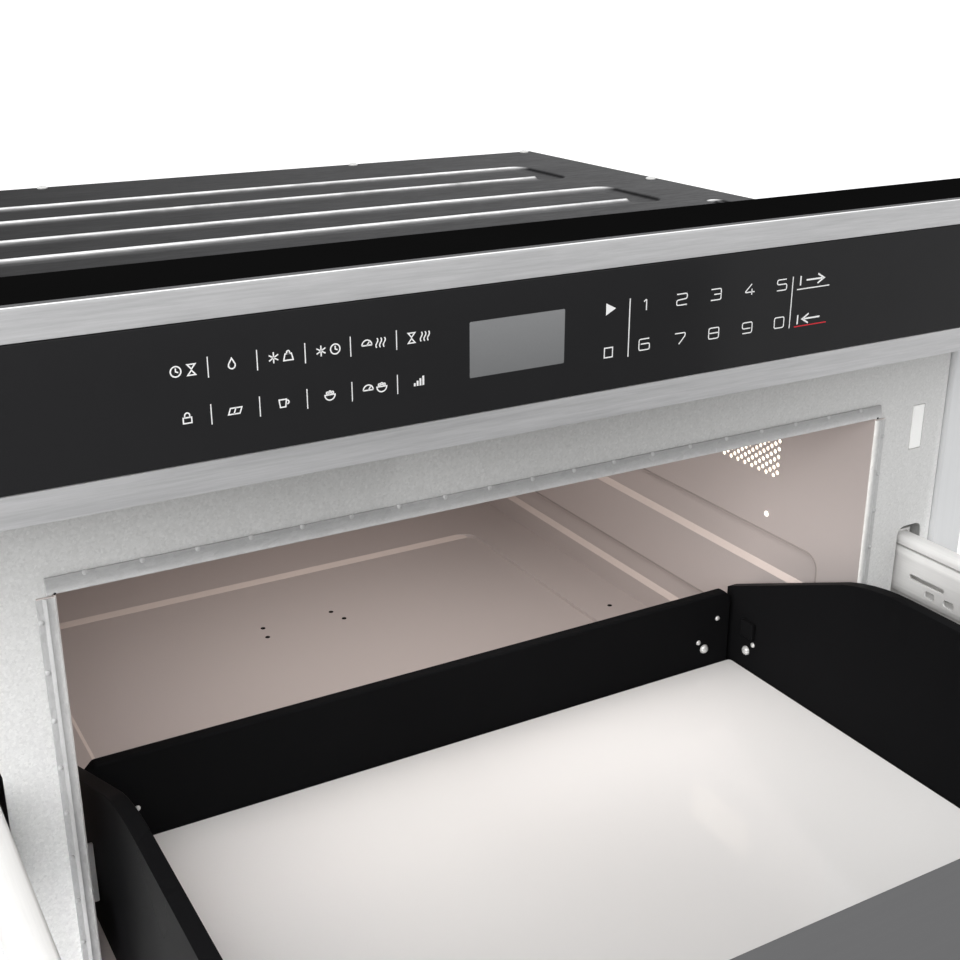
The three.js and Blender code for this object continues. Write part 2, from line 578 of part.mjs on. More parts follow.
function capacitor() {
  const floor = SHEET + GAP;
  const { x, half, y, height } = CAPACITOR;
  const can = prism(rounded([x - half, x + half], [floor, floor + height], height / 2 - 1, 6), 'y', y);
  const tabs = [-10, 10].map((offset) => block(
    [x + offset - 3, x + offset + 3], [y[0] - 11, y[0] + 1], [floor + height / 2, floor + height / 2 + 1]));
  const strap = block([x - half - 10, x + half + 10], [y[0] + 40, y[0] + 58], [floor, floor + 1.2]);
  return join(can, ...tabs, strap);
}

// ---------------------------------------------------------------- cooling

const FAN_Y = [CABINET_DEPTH - SHEET - 4 - FAN.depth, CABINET_DEPTH - SHEET - 4];
const FAN_HUB = 15;

function fanFrame() {
  const half = FAN.size / 2;
  const outline = rounded([FAN_X - half, FAN_X + half], [FAN_Z - half, FAN_Z + half], 5);
  const ring = cut(
    prism(outline, 'y', FAN_Y),
    rod('y', [FAN_X, FAN_Z], FAN.rotor + 1.5, [FAN_Y[0] - 1, FAN_Y[1] + 1], 32));
  const spider = [FAN_Y[0], FAN_Y[0] + 4];
  const reach = FAN.rotor + 3;
  const mount = [FAN_X - half + 4, FAN_X + half - 4].map((x) => rod(
    'y', [x, FAN_Z - half + 6], 3, [FAN_Y[1] - 1, CABINET_DEPTH - SHEET - GAP], 12));
  const frame = join(
    ring,
    block([FAN_X - reach, FAN_X + reach], spider, [FAN_Z - 2, FAN_Z + 2]),
    block([FAN_X - 2, FAN_X + 2], spider, [FAN_Z - reach, FAN_Z + reach]),
    rod('y', [FAN_X, FAN_Z], FAN_HUB - 1, spider),
    rod('y', [FAN_X, FAN_Z], 6, [spider[0], spider[1] + 8]),
    ...mount);
  return cut(frame, rod('y', [FAN_X, FAN_Z], MOTOR_SHAFT_RADIUS + GAP, [spider[0] - 1, spider[1] + 9]));
}

function fanRotor() {
  const y = [FAN_Y[0] + 5, FAN_Y[1] - 1];
  const hub = cut(
    rod('y', [FAN_X, FAN_Z], FAN_HUB, y, 24),
    rod('y', [FAN_X, FAN_Z], FAN_HUB - 1.5, [y[0] - 1, y[1] - 2], 24));
  const vanes = Array.from({ length: 7 }, (_, i) => {
    const vane = new THREE.BoxGeometry(FAN.rotor - FAN_HUB + 1, 1.2, 17);
    vane.rotateX(THREE.MathUtils.degToRad(52));
    vane.translate((FAN.rotor + FAN_HUB - 1) / 2, 0, 0);
    vane.rotateY((i * 2 * Math.PI) / 7);
    vane.translate(FAN_X, (y[0] + y[1]) / 2, FAN_Z);
    return solidOf(vane);
  });
  return join(hub, ...vanes, rod('y', [FAN_X, FAN_Z], MOTOR_SHAFT_RADIUS, [FAN_Y[0] + 1, y[1] - 1], 12));
}

function airDuct() {
  const x = [FAN_X - MAGNETRON.half - 6, FAN_X + MAGNETRON.half + 6];
  const z = [ROOF, ROOF + STIRRER.box + MAGNETRON.height];
  const y = [STIRRER_Y + MAGNETRON.depthHalf + 2, FAN_Y[0] - GAP];
  const tube = block(x, y, z);
  return cut(tube, block([x[0] + 1.5, x[1] - 1.5], [y[0] - 1, y[1] + 1], [z[0] + 1.5, z[1] - 1.5]));
}

// ---------------------------------------------------------------- drawer drive

const DRIVE_PLATE = 4; // thickness of the bracket's cheeks
const CHEEK = RACK_WIDTH / 2 + 3; // inner face of a cheek
const GEARBOX = { from: CHEEK + DRIVE_PLATE + GAP, length: 22, halfWidth: 20, height: 56 };

function driveBracket() {
  const floor = SHEET + GAP;
  const y = [PINION_Y - 11, PINION_Y + 11];
  const bridge = block([-CHEEK - DRIVE_PLATE, CHEEK + DRIVE_PLATE], y, [RACK_TOP + 0.5, RACK_TOP + 4.5]);
  const cheeks = [-1, 1].map((side) => block(
    across(side, CHEEK, CHEEK + DRIVE_PLATE), y, [floor, RACK_TOP + 4.5]));
  const feet = [-1, 1].map((side) => block(
    across(side, CHEEK, CHEEK + DRIVE_PLATE), [y[0] - 14, y[1] + 14], [floor, floor + 3]));
  const body = join(bridge, ...cheeks, ...feet);
  return cut(body, rod('x', [PINION_Y, PINION_Z], SHAFT_RADIUS + GAP, [-20, 20]));
}

function driveMotor() {
  const floor = SHEET + GAP;
  const x = [GEARBOX.from, GEARBOX.from + GEARBOX.length];
  const y = [PINION_Y - GEARBOX.halfWidth, PINION_Y + GEARBOX.halfWidth];
  const body = join(
    block(x, y, [floor, floor + GEARBOX.height]),
    rod('x', [PINION_Y, PINION_Z], 17, [x[1] - 1, x[1] + 52], 24),
    rod('x', [PINION_Y, PINION_Z], 5, [x[1] + 51, x[1] + 56], 12));
  return cut(body, rod('x', [PINION_Y, PINION_Z], SHAFT_RADIUS + GAP, [x[0] - 1, x[0] + 12]));
}

const TOOTH_PITCH = Math.PI * GEAR_MODULE;
const TOOTH_TAN = Math.tan(THREE.MathUtils.degToRad(20));
const TOOTH_HALF = TOOTH_PITCH / 4 - 0.35; // half thickness on the pitch line, with backlash

// The pinion's outline: straight-sided teeth, one of them pointing up at the rack.
function drivePinion() {
  const outline = [];
  for (let tooth = 0; tooth < PINION_TEETH; tooth += 1) {
    const middle = Math.PI / 2 + (tooth * 2 * Math.PI) / PINION_TEETH;
    const corners = [
      [PITCH_RADIUS - TOOTH_DEDENDUM, -(TOOTH_HALF + TOOTH_DEDENDUM * TOOTH_TAN * 0.4)],
      [PITCH_RADIUS, -TOOTH_HALF],
      [PITCH_RADIUS + TOOTH_ADDENDUM, -(TOOTH_HALF - TOOTH_ADDENDUM * 0.5)],
      [PITCH_RADIUS + TOOTH_ADDENDUM, TOOTH_HALF - TOOTH_ADDENDUM * 0.5],
      [PITCH_RADIUS, TOOTH_HALF],
      [PITCH_RADIUS - TOOTH_DEDENDUM, TOOTH_HALF + TOOTH_DEDENDUM * TOOTH_TAN * 0.4],
    ];
    for (const [out, along] of corners) {
      outline.push([
        PINION_Y + out * Math.cos(middle) - along * Math.sin(middle),
        PINION_Z + out * Math.sin(middle) + along * Math.cos(middle),
      ]);
    }
  }
  return join(
    prism(outline, 'x', [-RACK_WIDTH / 2, RACK_WIDTH / 2]),
    rod('x', [PINION_Y, PINION_Z], SHAFT_RADIUS, [-CHEEK - DRIVE_PLATE - 1, GEARBOX.from + 11], 16));
}

// ---------------------------------------------------------------- telescopic slides

// A C-shaped rail, its web on the outside or on the inside.
function rail(side, { inner, outer, z, y, webOutside }) {
  const body = block(across(side, inner, outer), y, z);
  const room = webOutside
    ? across(side, inner - 1, outer - SLIDE.sheet)
    : across(side, inner + SLIDE.sheet, outer + 1);
  return cut(body, block(room, [y[0] - 1, y[1] + 1], [z[0] + SLIDE.sheet, z[1] - SLIDE.sheet]));
}

function slideOuter(side) {
  const y = [SLIDE_START, SLIDE_START + SLIDE_LENGTH];
  const z = [SLIDE_BOTTOM, SLIDE_TOP];
  const channel = rail(side, { inner: SLIDE_INSIDE, outer: SLIDE_OUTSIDE, z, y, webOutside: true });
  const standoffs = [40, SLIDE_LENGTH / 2, SLIDE_LENGTH - 40].map((along) => block(
    across(side, SLIDE_OUTSIDE - SLIDE.sheet, INNER_X), [along, along + 24],
    [z[0] + 10, z[1] - 10]));
  return join(channel, ...standoffs);
}

function slideMiddle(side) {
  const drop = SLIDE.sheet + GAP;
  return rail(side, {
    inner: SLIDE_INSIDE,
    outer: SLIDE_OUTSIDE - drop,
    z: [SLIDE_BOTTOM + drop, SLIDE_TOP - drop],
    y: [0, SLIDE_LENGTH],
    webOutside: true,
  });
}

const RAIL_SLOTS = [{ y: 300, length: 26, z: 20.5, width: 3 }, { y: 120, length: 40, z: 20.5, width: 3 }];
const SHORT_SLOTS = { starts: [292, 306, 150, 164], length: 7.5, z: 11, width: 4 };

function slideInner(side) {
  const drop = 2 * (SLIDE.sheet + GAP);
  const z = [SLIDE_BOTTOM + drop, SLIDE_TOP - drop];
  const outer = SLIDE_INSIDE + 7;
  const channel = rail(side, { inner: SLIDE_INSIDE, outer, z, y: [GAP, SLIDE_LENGTH], webOutside: false });
  const tab = block(across(side, SLIDE_INSIDE - 20, SLIDE_INSIDE + 1), [GAP, GAP + 1.5], z);
  const through = across(side, SLIDE_INSIDE - 1, SLIDE_INSIDE + SLIDE.sheet + 1);
  const slots = [
    ...RAIL_SLOTS,
    ...SHORT_SLOTS.starts.map((y) => ({ ...SHORT_SLOTS, y })),
  ].map(({ y, length, z: height, width }) => prism(
    rounded([y, y + length], [SLIDE_BOTTOM + height, SLIDE_BOTTOM + height + width], width / 2 - 0.1),
    'x', through));
  return cut(join(channel, tab), ...slots);
}

// ---------------------------------------------------------------- interlocks

const SWITCH_BOX = { inner: LATCH_X - 11.1, outer: LATCH_X + 12.9, depth: 46 };

function interlockHousing(side) {
  const z = [LATCH_BOTTOM - 6, LATCH_TOP + 6];
  const body = block(across(side, SWITCH_BOX.inner, SWITCH_BOX.outer), [PLATE + GAP, SWITCH_BOX.depth], z);
  const half = LATCH.width / 2;
  const pocket = block(
    across(side, LATCH_X - half, LATCH_X + half), [0, PLUNGER_LENGTH + PLUNGER_TRAVEL + 2],
    [LATCH_BOTTOM, LATCH_TOP]);
  const ear = block(
    across(side, SWITCH_BOX.outer - 1, INNER_X), [PLATE + SHEET + 2 * GAP, 20], [z[0] + 8, z[1] - 8]);
  return cut(join(body, ear), pocket);
}

function interlockPlunger(side) {
  const half = LATCH.width / 2 - GAP;
  return block(
    across(side, LATCH_X - half, LATCH_X + half), [-GAP, PLUNGER_LENGTH],
    [LATCH_BOTTOM + GAP, LATCH_TOP - GAP]);
}

// ---------------------------------------------------------------- control fascia

const CAP_FRONT = -FASCIA_DEPTH + FASCIA_RETURN + GAP;
const CAP_WALL = 3;
const SHELL_BACK = -FASCIA_DEPTH + FASCIA_RETURN;

// The shell's side outline between its outer face and the depth of its returns.
function shellOutline(inset, top, bottom) {
  const front = -FASCIA_DEPTH + inset;
  const radius = FASCIA_RADIUS - inset;
  return [
    [SHELL_BACK, top - inset],
    ...arc(front + radius, top - inset - radius, radius, 90, 180, 4),
    [front, bottom + inset],
  ];
}

function fasciaShell() {
  const outside = shellOutline(0, FRONT_TOP, FASCIA_BOTTOM);
  const inside = shellOutline(PLATE, FRONT_TOP, FASCIA_BOTTOM).reverse();
  const back = -PLATE;
  const profile = [...outside, [back, FASCIA_BOTTOM], [back, FASCIA_BOTTOM + PLATE], ...inside];
  const face = prism(profile, 'x', [-FRONT_X, FRONT_X]);
  const endOutline = [...outside, [SHELL_BACK, FASCIA_BOTTOM]];
  const ends = [[-FRONT_X, -FRONT_X + PLATE], [FRONT_X - PLATE, FRONT_X]].map(
    (x) => prism(endOutline, 'x', x));
  const half = GLASS_X + GAP;
  const window = block(
    [-half, half], [-FASCIA_DEPTH - 1, -FASCIA_DEPTH + 2], [GLASS_BOTTOM - GAP, GLASS_TOP + GAP]);
  return cut(join(face, ...ends), window);
}

function fasciaCap() {
  const x = [-FRONT_X + GAP + 0.1, FRONT_X - GAP - 0.1];
  const z = [FASCIA_BOTTOM + PLATE + GAP, FRONT_TOP];
  const body = block(x, [CAP_FRONT, -GAP], z);
  const room = block(
    [x[0] + CAP_WALL, x[1] - CAP_WALL], [CAP_FRONT - 1, -GAP - CAP_WALL], [z[0] + CAP_WALL, z[1] - CAP_WALL]);
  const loom = prism(
    rounded([-LOOM_HOLE.half, LOOM_HOLE.half], [LOOM_HOLE.bottom, LOOM_HOLE.top], 4), 'y',
    [-GAP - CAP_WALL - 1, 1]);
  return cut(body, room, loom);
}

function controlGlass() {
  const half = GLASS_X;
  return block([-half, half], [GLASS_BACK - GLASS_THICKNESS, GLASS_BACK], [GLASS_BOTTOM, GLASS_TOP]);
}

const CARRIER_THICKNESS = 3;
const CARRIER_INSET = 8; // carrier inside the fascia's ends
const CARRIER_CLEAR = 1; // carrier inside the cap's top and bottom walls
const CARRIER = [GLASS_BACK + GAP, GLASS_BACK + GAP + CARRIER_THICKNESS];
const BOARD = { x: [-170, 215], thickness: 1.6, standoff: 5.5 };
const BOARD_FRONT = CARRIER[1] + BOARD.standoff;
const DISPLAY_X = [DISPLAY.left, DISPLAY.left + DISPLAY.width];
const DISPLAY_TOP = GLASS_TOP - DISPLAY.belowGlassTop;
const DISPLAY_Z = [DISPLAY_TOP - DISPLAY.height, DISPLAY_TOP];

function controlCarrier() {
  const plate = block(
    [-FRONT_X + CARRIER_INSET, FRONT_X - CARRIER_INSET], CARRIER,
    [FASCIA_BOTTOM + PLATE + CAP_WALL + CARRIER_CLEAR, FRONT_TOP - PLATE - CAP_WALL - CARRIER_CLEAR]);
  const posts = [BOARD.x[0] + 8, BOARD.x[1] - 8].flatMap((x) => [GLASS_BOTTOM + 6, GLASS_TOP - 6].map(
    (z) => rod('y', [x, z], 3, [CARRIER[0] + 1, BOARD_FRONT - GAP], 10)));
  const window = block(
    [DISPLAY_X[0] - GAP, DISPLAY_X[1] + GAP], [CARRIER[0] - 1, CARRIER[1] + 1],
    [DISPLAY_Z[0] - GAP, DISPLAY_Z[1] + GAP]);
  return cut(join(plate, ...posts), window);
}

function displayModule() {
  return block(DISPLAY_X, [CARRIER[0], BOARD_FRONT - GAP], DISPLAY_Z);
}

function controlBoard() {
  const back = BOARD_FRONT + BOARD.thickness;
  const sheet = block(BOARD.x, [BOARD_FRONT, back], [GLASS_BOTTOM + 1, GLASS_TOP - 1]);
  const foot = GLASS_BOTTOM + 7.3;
  const relays = [-140, -112, -84].map((x) => block([x, x + 20], [back - 1, back + 15], [foot, foot + 15]));
  const transformerCore = block([60, 96], [back - 1, back + 22], [foot, foot + 32]);
  const header = block([-12, 12], [back - 1, back + 9], [foot + 1, foot + 9]);
  return join(sheet, ...relays, transformerCore, header);
}

// ---------------------------------------------------------------- door (y = 0 on its rear face)

const SKIN_BACK = -2.3;
const LINER_THICKNESS = 2;
const WINDOW_X = FRONT_X - WINDOW_MARGIN.side;
const WINDOW_Z = [DOOR_LIFT + WINDOW_MARGIN.bottom, DOOR_TOP - WINDOW_MARGIN.top];
const CHOKE = { half: CAV_X + 33.7, bottom: CAVITY_FLOOR - 28, top: CAVITY_TOP + 28, width: 22, depth: 1.2 };

function doorSkin() {
  const body = block([-FRONT_X, FRONT_X], [-DOOR_THICKNESS, SKIN_BACK], [DOOR_LIFT, DOOR_TOP]);
  const room = block(
    [-FRONT_X + PLATE, FRONT_X - PLATE], [-DOOR_THICKNESS + PLATE, SKIN_BACK + 1],
    [DOOR_LIFT + PLATE, DOOR_TOP - PLATE]);
  const window = prism(
    rounded([-WINDOW_X - GAP, WINDOW_X + GAP], [WINDOW_Z[0] - GAP, WINDOW_Z[1] + GAP], 6), 'y',
    [-DOOR_THICKNESS - 1, -DOOR_THICKNESS + 3]);
  return cut(body, room, window);
}

function doorGlass() {
  return prism(
    rounded([-WINDOW_X, WINDOW_X], WINDOW_Z, 6), 'y', [-DOOR_THICKNESS, -DOOR_THICKNESS + 5]);
}

const FRAME_WALL = 2.5;
const FRAME_SEAT = 5.3; // skin's face to the frame's seat for the glass
const SEAT_MARGIN = 6; // seat outside the glass

// A moulded tray: a trough round the window, and a seat for the glass that is hollow behind.
function doorFrame() {
  const clear = PLATE + GAP;
  const x = [-FRONT_X + clear, FRONT_X - clear];
  const z = [DOOR_LIFT + clear, DOOR_TOP - clear];
  const y = [-DOOR_THICKNESS + FRAME_SEAT, SKIN_BACK];
  const seat = (inset, ySpan) => block(
    [-WINDOW_X - SEAT_MARGIN + inset, WINDOW_X + SEAT_MARGIN - inset], ySpan,
    [WINDOW_Z[0] - SEAT_MARGIN + inset, WINDOW_Z[1] + SEAT_MARGIN - inset]);
  const trough = cut(
    block(
      [x[0] + FRAME_WALL, x[1] - FRAME_WALL], [y[0] - 1, y[1] - FRAME_WALL],
      [z[0] + FRAME_WALL, z[1] - FRAME_WALL]),
    seat(0, [y[0] - 2, y[1]]));
  return cut(block(x, y, z), trough, seat(FRAME_WALL, [y[0] + FRAME_WALL, y[1] + 1]));
}

function doorLiner() {
  const x = [-FRONT_X + 4, FRONT_X - 4];
  const sheet = block(x, [-LINER_THICKNESS, 0], [DOOR_LIFT + 4, DOOR_TOP - 4]);
  return cut(sheet, chokeRing(GAP, [-CHOKE.depth, 1]));
}

function chokeRing(margin, y) {
  const ring = (inset) => rounded(
    [-CHOKE.half + inset, CHOKE.half - inset], [CHOKE.bottom + inset, CHOKE.top - inset], 8);
  return cut(
    prism(ring(-margin), 'y', y),
    prism(ring(CHOKE.width + margin), 'y', [y[0] - 1, y[1] + 1]));
}

function chokeCover() {
  return chokeRing(0, [-CHOKE.depth + GAP, 0]);
}

function latchStriker(side) {
  const half = LATCH.width / 2 - 0.6;
  return block(
    across(side, LATCH_X - half, LATCH_X + half), [GAP, DOOR_STANDOFF - 2 * GAP],
    [LATCH_BOTTOM + 1, LATCH_TOP - 1]);
}

// ---------------------------------------------------------------- basket (same frame as the door)

// Upper edge of a side wall: low at the rear, a straight slope, an arc, then level to the door.
function sideOutline(inset) {
  const rear = BASKET_LENGTH + BASKET_WALL - inset;
  const level = TRAY_TOP + BASKET_SIDE_HEIGHT - inset;
  const low = TRAY_TOP + BASKET_REAR_HEIGHT - 1 - inset;
  const knee = level - BASKET_SWEEP.drop;
  const slopeEnd = BASKET_LENGTH - BASKET_SWEEP.end;
  const flatEnd = BASKET_LENGTH - BASKET_SWEEP.start;
  const slope = Array.from({ length: 5 }, (_, i) => {
    const t = (i + 1) / 5;
    return [slopeEnd + (flatEnd - slopeEnd) * t, knee + (level - knee) * (2 * t - t * t)];
  });
  return [[rear, WALL_BOTTOM], [rear, low], [slopeEnd, knee], ...slope, [GAP, level], [GAP, WALL_BOTTOM]];
}

function basketSide(side) {
  const outer = BASKET_X + BASKET_WALL;
  const skin = prism(sideOutline(0), 'x', across(side, BASKET_X, outer));
  const hollow = sideOutline(SHEET).map(([y, z]) => (z === WALL_BOTTOM ? [y, z - 1] : [y, z]));
  const room = prism(hollow, 'x', across(side, BASKET_X + SHEET, outer - SHEET));
  const tab = block(
    across(side, outer - SHEET, outer + 12), [GAP, GAP + SHEET], [WALL_BOTTOM, TRAY_TOP + 80]);
  return join(cut(skin, room), tab);
}

function basketRear() {
  const half = BASKET_X - GAP - 2;
  const y = [BASKET_LENGTH, BASKET_LENGTH + BASKET_WALL];
  const top = TRAY_TOP + BASKET_REAR_HEIGHT;
  const corner = 5;
  const outline = (inset) => [
    [-half + inset, WALL_BOTTOM - inset * 2],
    [half - inset, WALL_BOTTOM - inset * 2],
    [half - inset, top - corner],
    [half - corner, top - inset],
    [-half + corner, top - inset],
    [-half + inset, top - corner],
  ];
  return cut(prism(outline(0), 'y', y), prism(outline(SHEET), 'y', [y[0] + SHEET, y[1] - SHEET]));
}

const PAN_RIBS = [30, 130, 230, 330, 395].map((y) => (y / 419) * BASKET_LENGTH);
const GLIDE = { x: BASKET_X - 10, half: 5, y: [BASKET_LENGTH - 59, BASKET_LENGTH - 9] };

function basketPan() {
  const edge = BASKET_X + BASKET_WALL;
  const top = PAN_BOTTOM + SHEET;
  const sheet = block([-edge, edge], [GAP, BASKET_LENGTH + BASKET_WALL], [PAN_BOTTOM, top]);
  const ribs = PAN_RIBS.map((y) => block(
    [-BASKET_X + 8, BASKET_X - 8], [y, y + 6], [top - 0.1, top + TRAY_LIFT]));
  const glides = Object.values(SIDES).map((side) => block(
    across(side, GLIDE.x - GLIDE.half, GLIDE.x + GLIDE.half), GLIDE.y,
    [CAVITY_FLOOR + GAP, PAN_BOTTOM + 0.1]));
  return join(sheet, ...ribs, ...glides);
}

function ceramicTray() {
  const half = BASKET_X - GAP;
  return prism(
    rounded([-half, half], [GAP, BASKET_LENGTH - GAP], 3), 'z', [TRAY_TOP - TRAY_THICKNESS, TRAY_TOP]);
}

const BRACKET = { leg: 40, bottom: WALL_BOTTOM + 6.1, top: WALL_BOTTOM + 46.1 };

function cornerBracket(side) {
  const inner = BASKET_X + BASKET_WALL + GAP;
  const rear = BASKET_LENGTH + BASKET_WALL + GAP;
  const z = [BRACKET.bottom, BRACKET.top];
  return join(
    block(across(side, inner, inner + SHEET), [rear - BRACKET.leg, rear + SHEET], z),
    block(across(side, inner + SHEET - BRACKET.leg, inner + SHEET), [rear, rear + SHEET], z));
}

// The rack's outline, its teeth pointing down, in mesh with the pinion while the drawer is open.
function driveRack() {
  const root = RACK_PITCH_HEIGHT + TOOTH_DEDENDUM;
  const tip = RACK_PITCH_HEIGHT - TOOTH_ADDENDUM;
  const start = 2;
  const end = SLIDE_LENGTH - 15;
  const contact = PINION_Y + TRAVEL + DOOR_STANDOFF; // pinion tooth's place in the drawer's frame
  const first = Math.ceil((start + TOOTH_PITCH - contact) / TOOTH_PITCH);
  const last = Math.floor((end - TOOTH_PITCH - contact) / TOOTH_PITCH);
  const outline = [[start, RACK_TOP], [start, root]];
  for (let tooth = first; tooth <= last; tooth += 1) {
    const middle = contact + (tooth + 0.5) * TOOTH_PITCH;
    const rootHalf = TOOTH_HALF + TOOTH_DEDENDUM * TOOTH_TAN;
    const tipHalf = TOOTH_HALF - TOOTH_ADDENDUM * TOOTH_TAN;
    outline.push([middle - rootHalf, root], [middle - tipHalf, tip]);
    outline.push([middle + tipHalf, tip], [middle + rootHalf, root]);
  }
  outline.push([end, root], [end, RACK_TOP]);
  return join(
    prism(outline, 'x', [-RACK_WIDTH / 2, RACK_WIDTH / 2]),
    block(
      [-RACK_FOOT.half, RACK_FOOT.half], [GAP, GAP + RACK_FOOT.thickness],
      [RACK_FOOT.bottom, RACK_FOOT.top]));
}

// ---------------------------------------------------------------- assembly

const microwaveDrawer = new THREE.Group();
microwaveDrawer.position.y = -CABINET_DEPTH / 2;

const cabinet = new THREE.Group();
microwaveDrawer.add(cabinet);
node(cabinet, 'base_pan', basePan(), 'galvanised');
node(cabinet, 'top_cover', topCover(), 'darkSteel');
node(cabinet, 'rear_panel', rearPanel(), 'galvanised');
node(cabinet, 'cord_gland', cordGland(), 'black');
node(cabinet, 'front_plate', frontPlate(), 'galvanised');
node(cabinet, 'cavity_liner', cavityLiner(), 'enamel');
node(cabinet, 'lamp_screen', lampScreen(), 'enamel');
node(cabinet, 'lamp_housing', lampHousing(), 'galvanised');
node(cabinet, 'lamp_bulb', lampBulb(), 'clearGlass');
node(cabinet, 'stirrer_box', stirrerBox(), 'galvanised');
node(cabinet, 'stirrer_cover', stirrerCover(), 'nylon');
node(cabinet, 'stirrer_motor', stirrerMotor(), 'zinc');
node(cabinet, 'stirrer_blade', stirrerBlade(), 'zinc');
node(cabinet, 'waveguide', waveguide(), 'galvanised');
node(cabinet, 'magnetron', magnetron(), 'zinc');
node(cabinet, 'hv_transformer', transformer(), 'copper');
node(cabinet, 'hv_capacitor', capacitor(), 'zinc');
node(cabinet, 'air_duct', airDuct(), 'black');
node(cabinet, 'fan_frame', fanFrame(), 'black');
node(cabinet, 'fan_rotor', fanRotor(), 'black');
node(cabinet, 'drive_bracket', driveBracket(), 'zinc');
node(cabinet, 'drive_motor', driveMotor(), 'zinc');
node(cabinet, 'drive_pinion', drivePinion(), 'nylon');
node(cabinet, 'fascia_shell', fasciaShell(), 'stainless');
node(cabinet, 'fascia_cap', fasciaCap(), 'black');
node(cabinet, 'control_glass', controlGlass(), 'blackGlass');
node(cabinet, 'control_carrier', controlCarrier(), 'black');
node(cabinet, 'display_module', displayModule(), 'display');
node(cabinet, 'control_board', controlBoard(), 'board');

// The middle rails stand half-way out, and the drawer's frame is on the open door's rear face.
const middleRails = new THREE.Group();
middleRails.position.y = SLIDE_START - TRAVEL / 2;
const drawer = new THREE.Group();
drawer.position.y = -DOOR_STANDOFF - TRAVEL;
microwaveDrawer.add(middleRails, drawer);

node(drawer, 'door_skin', doorSkin(), 'stainless');
node(drawer, 'door_glass', doorGlass(), 'blackGlass');
node(drawer, 'door_frame', doorFrame(), 'black');
node(drawer, 'door_liner', doorLiner(), 'black');
node(drawer, 'choke_cover', chokeCover(), 'black');
node(drawer, 'basket_rear', basketRear(), 'black');
node(drawer, 'basket_pan', basketPan(), 'black');
node(drawer, 'ceramic_tray', ceramicTray(), 'ceramic');
node(drawer, 'drive_rack', driveRack(), 'nylon');

for (const [name, side] of Object.entries(SIDES)) {
  node(cabinet, `side_panel_${name}`, sidePanel(side), 'galvanised');
  node(cabinet, `side_flange_${name}`, sideFlange(side), 'galvanised');
  node(cabinet, `slide_outer_${name}`, slideOuter(side), 'zinc');
  node(cabinet, `interlock_housing_${name}`, interlockHousing(side), 'nylon');
  node(cabinet, `interlock_plunger_${name}`, interlockPlunger(side), 'nylon');
  node(middleRails, `slide_middle_${name}`, slideMiddle(side), 'zinc');
  node(drawer, `slide_inner_${name}`, slideInner(side), 'zinc');
  node(drawer, `basket_side_${name}`, basketSide(side), 'black');
  node(drawer, `corner_bracket_${name}`, cornerBracket(side), 'black');
  node(drawer, `latch_striker_${name}`, latchStriker(side), 'nylon');
}

export default microwaveDrawer;
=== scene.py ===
"""Looks of a built-in microwave drawer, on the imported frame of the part.

Sizes are millimetres from the front plate's face, on the centre plane and under the base pan,
and at() turns such a place into the frame's metres.
"""

import json
import logging
import math
from collections.abc import Callable, Iterable, Sequence
from dataclasses import dataclass, field, replace
from enum import Enum

import bmesh
import bpy
from mathutils import Euler, Matrix, Vector
from mathutils.geometry import tessellate_polygon

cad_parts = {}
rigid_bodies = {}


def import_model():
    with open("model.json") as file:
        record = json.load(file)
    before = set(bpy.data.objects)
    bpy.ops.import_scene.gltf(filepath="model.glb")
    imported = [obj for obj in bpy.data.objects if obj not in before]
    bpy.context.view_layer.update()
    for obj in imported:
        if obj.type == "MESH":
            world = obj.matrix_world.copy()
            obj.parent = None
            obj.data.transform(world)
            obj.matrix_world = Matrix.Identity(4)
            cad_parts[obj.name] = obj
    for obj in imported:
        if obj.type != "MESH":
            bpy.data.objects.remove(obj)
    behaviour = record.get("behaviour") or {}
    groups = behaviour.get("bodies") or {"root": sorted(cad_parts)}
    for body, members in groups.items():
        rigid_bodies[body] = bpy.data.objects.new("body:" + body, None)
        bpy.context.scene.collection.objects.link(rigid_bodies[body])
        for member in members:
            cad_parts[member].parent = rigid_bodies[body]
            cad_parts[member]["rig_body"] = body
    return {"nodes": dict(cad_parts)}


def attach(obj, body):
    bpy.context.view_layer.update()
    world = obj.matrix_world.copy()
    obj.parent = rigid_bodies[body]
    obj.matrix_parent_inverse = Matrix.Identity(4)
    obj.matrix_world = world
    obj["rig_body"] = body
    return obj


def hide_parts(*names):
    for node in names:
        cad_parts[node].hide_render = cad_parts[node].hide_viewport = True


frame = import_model()

logging.basicConfig(level=logging.INFO, format="%(message)s")
log = logging.getLogger("microwave_drawer")

MM = 0.001
PLATE_FACE = -227.5  # the front plate's face in the frame, in millimetres
OPEN_REACH = -335.0  # the open door's rear face from the plate's face
SHARP = math.radians(40)  # faces that meet at more than this keep an edge between them
FLAT = math.radians(0.3)  # faces that meet at less than this are joined
MERGE = 1e-4  # millimetres between points of a solid that are one
NODE_MERGE = 2e-6  # metres between points of a copied node that are one
COAT_ROUGHNESS = 0.05

Point = tuple[float, float]
Span = tuple[float, float]
Colour = tuple[float, float, float]
Radius = float | Callable[[Vector, Vector], float]
Place = tuple[float, float, float]
Rule = Callable[[Vector, Vector], bool]
Socket = bpy.types.NodeSocket
Sockets = bpy.types.bpy_prop_collection
Mesh = bpy.types.Mesh
Piece = bpy.types.Object


def at(x: float, y: float, z: float) -> Vector:
    """The frame's place of a point given in millimetres from the plate's face."""
    return Vector((x * MM, (y + PLATE_FACE) * MM, z * MM))


def local(point: Vector) -> Vector:
    """The reverse of at(): a place of the frame in millimetres from the plate's face."""
    return point / MM - Vector((0, PLATE_FACE, 0))


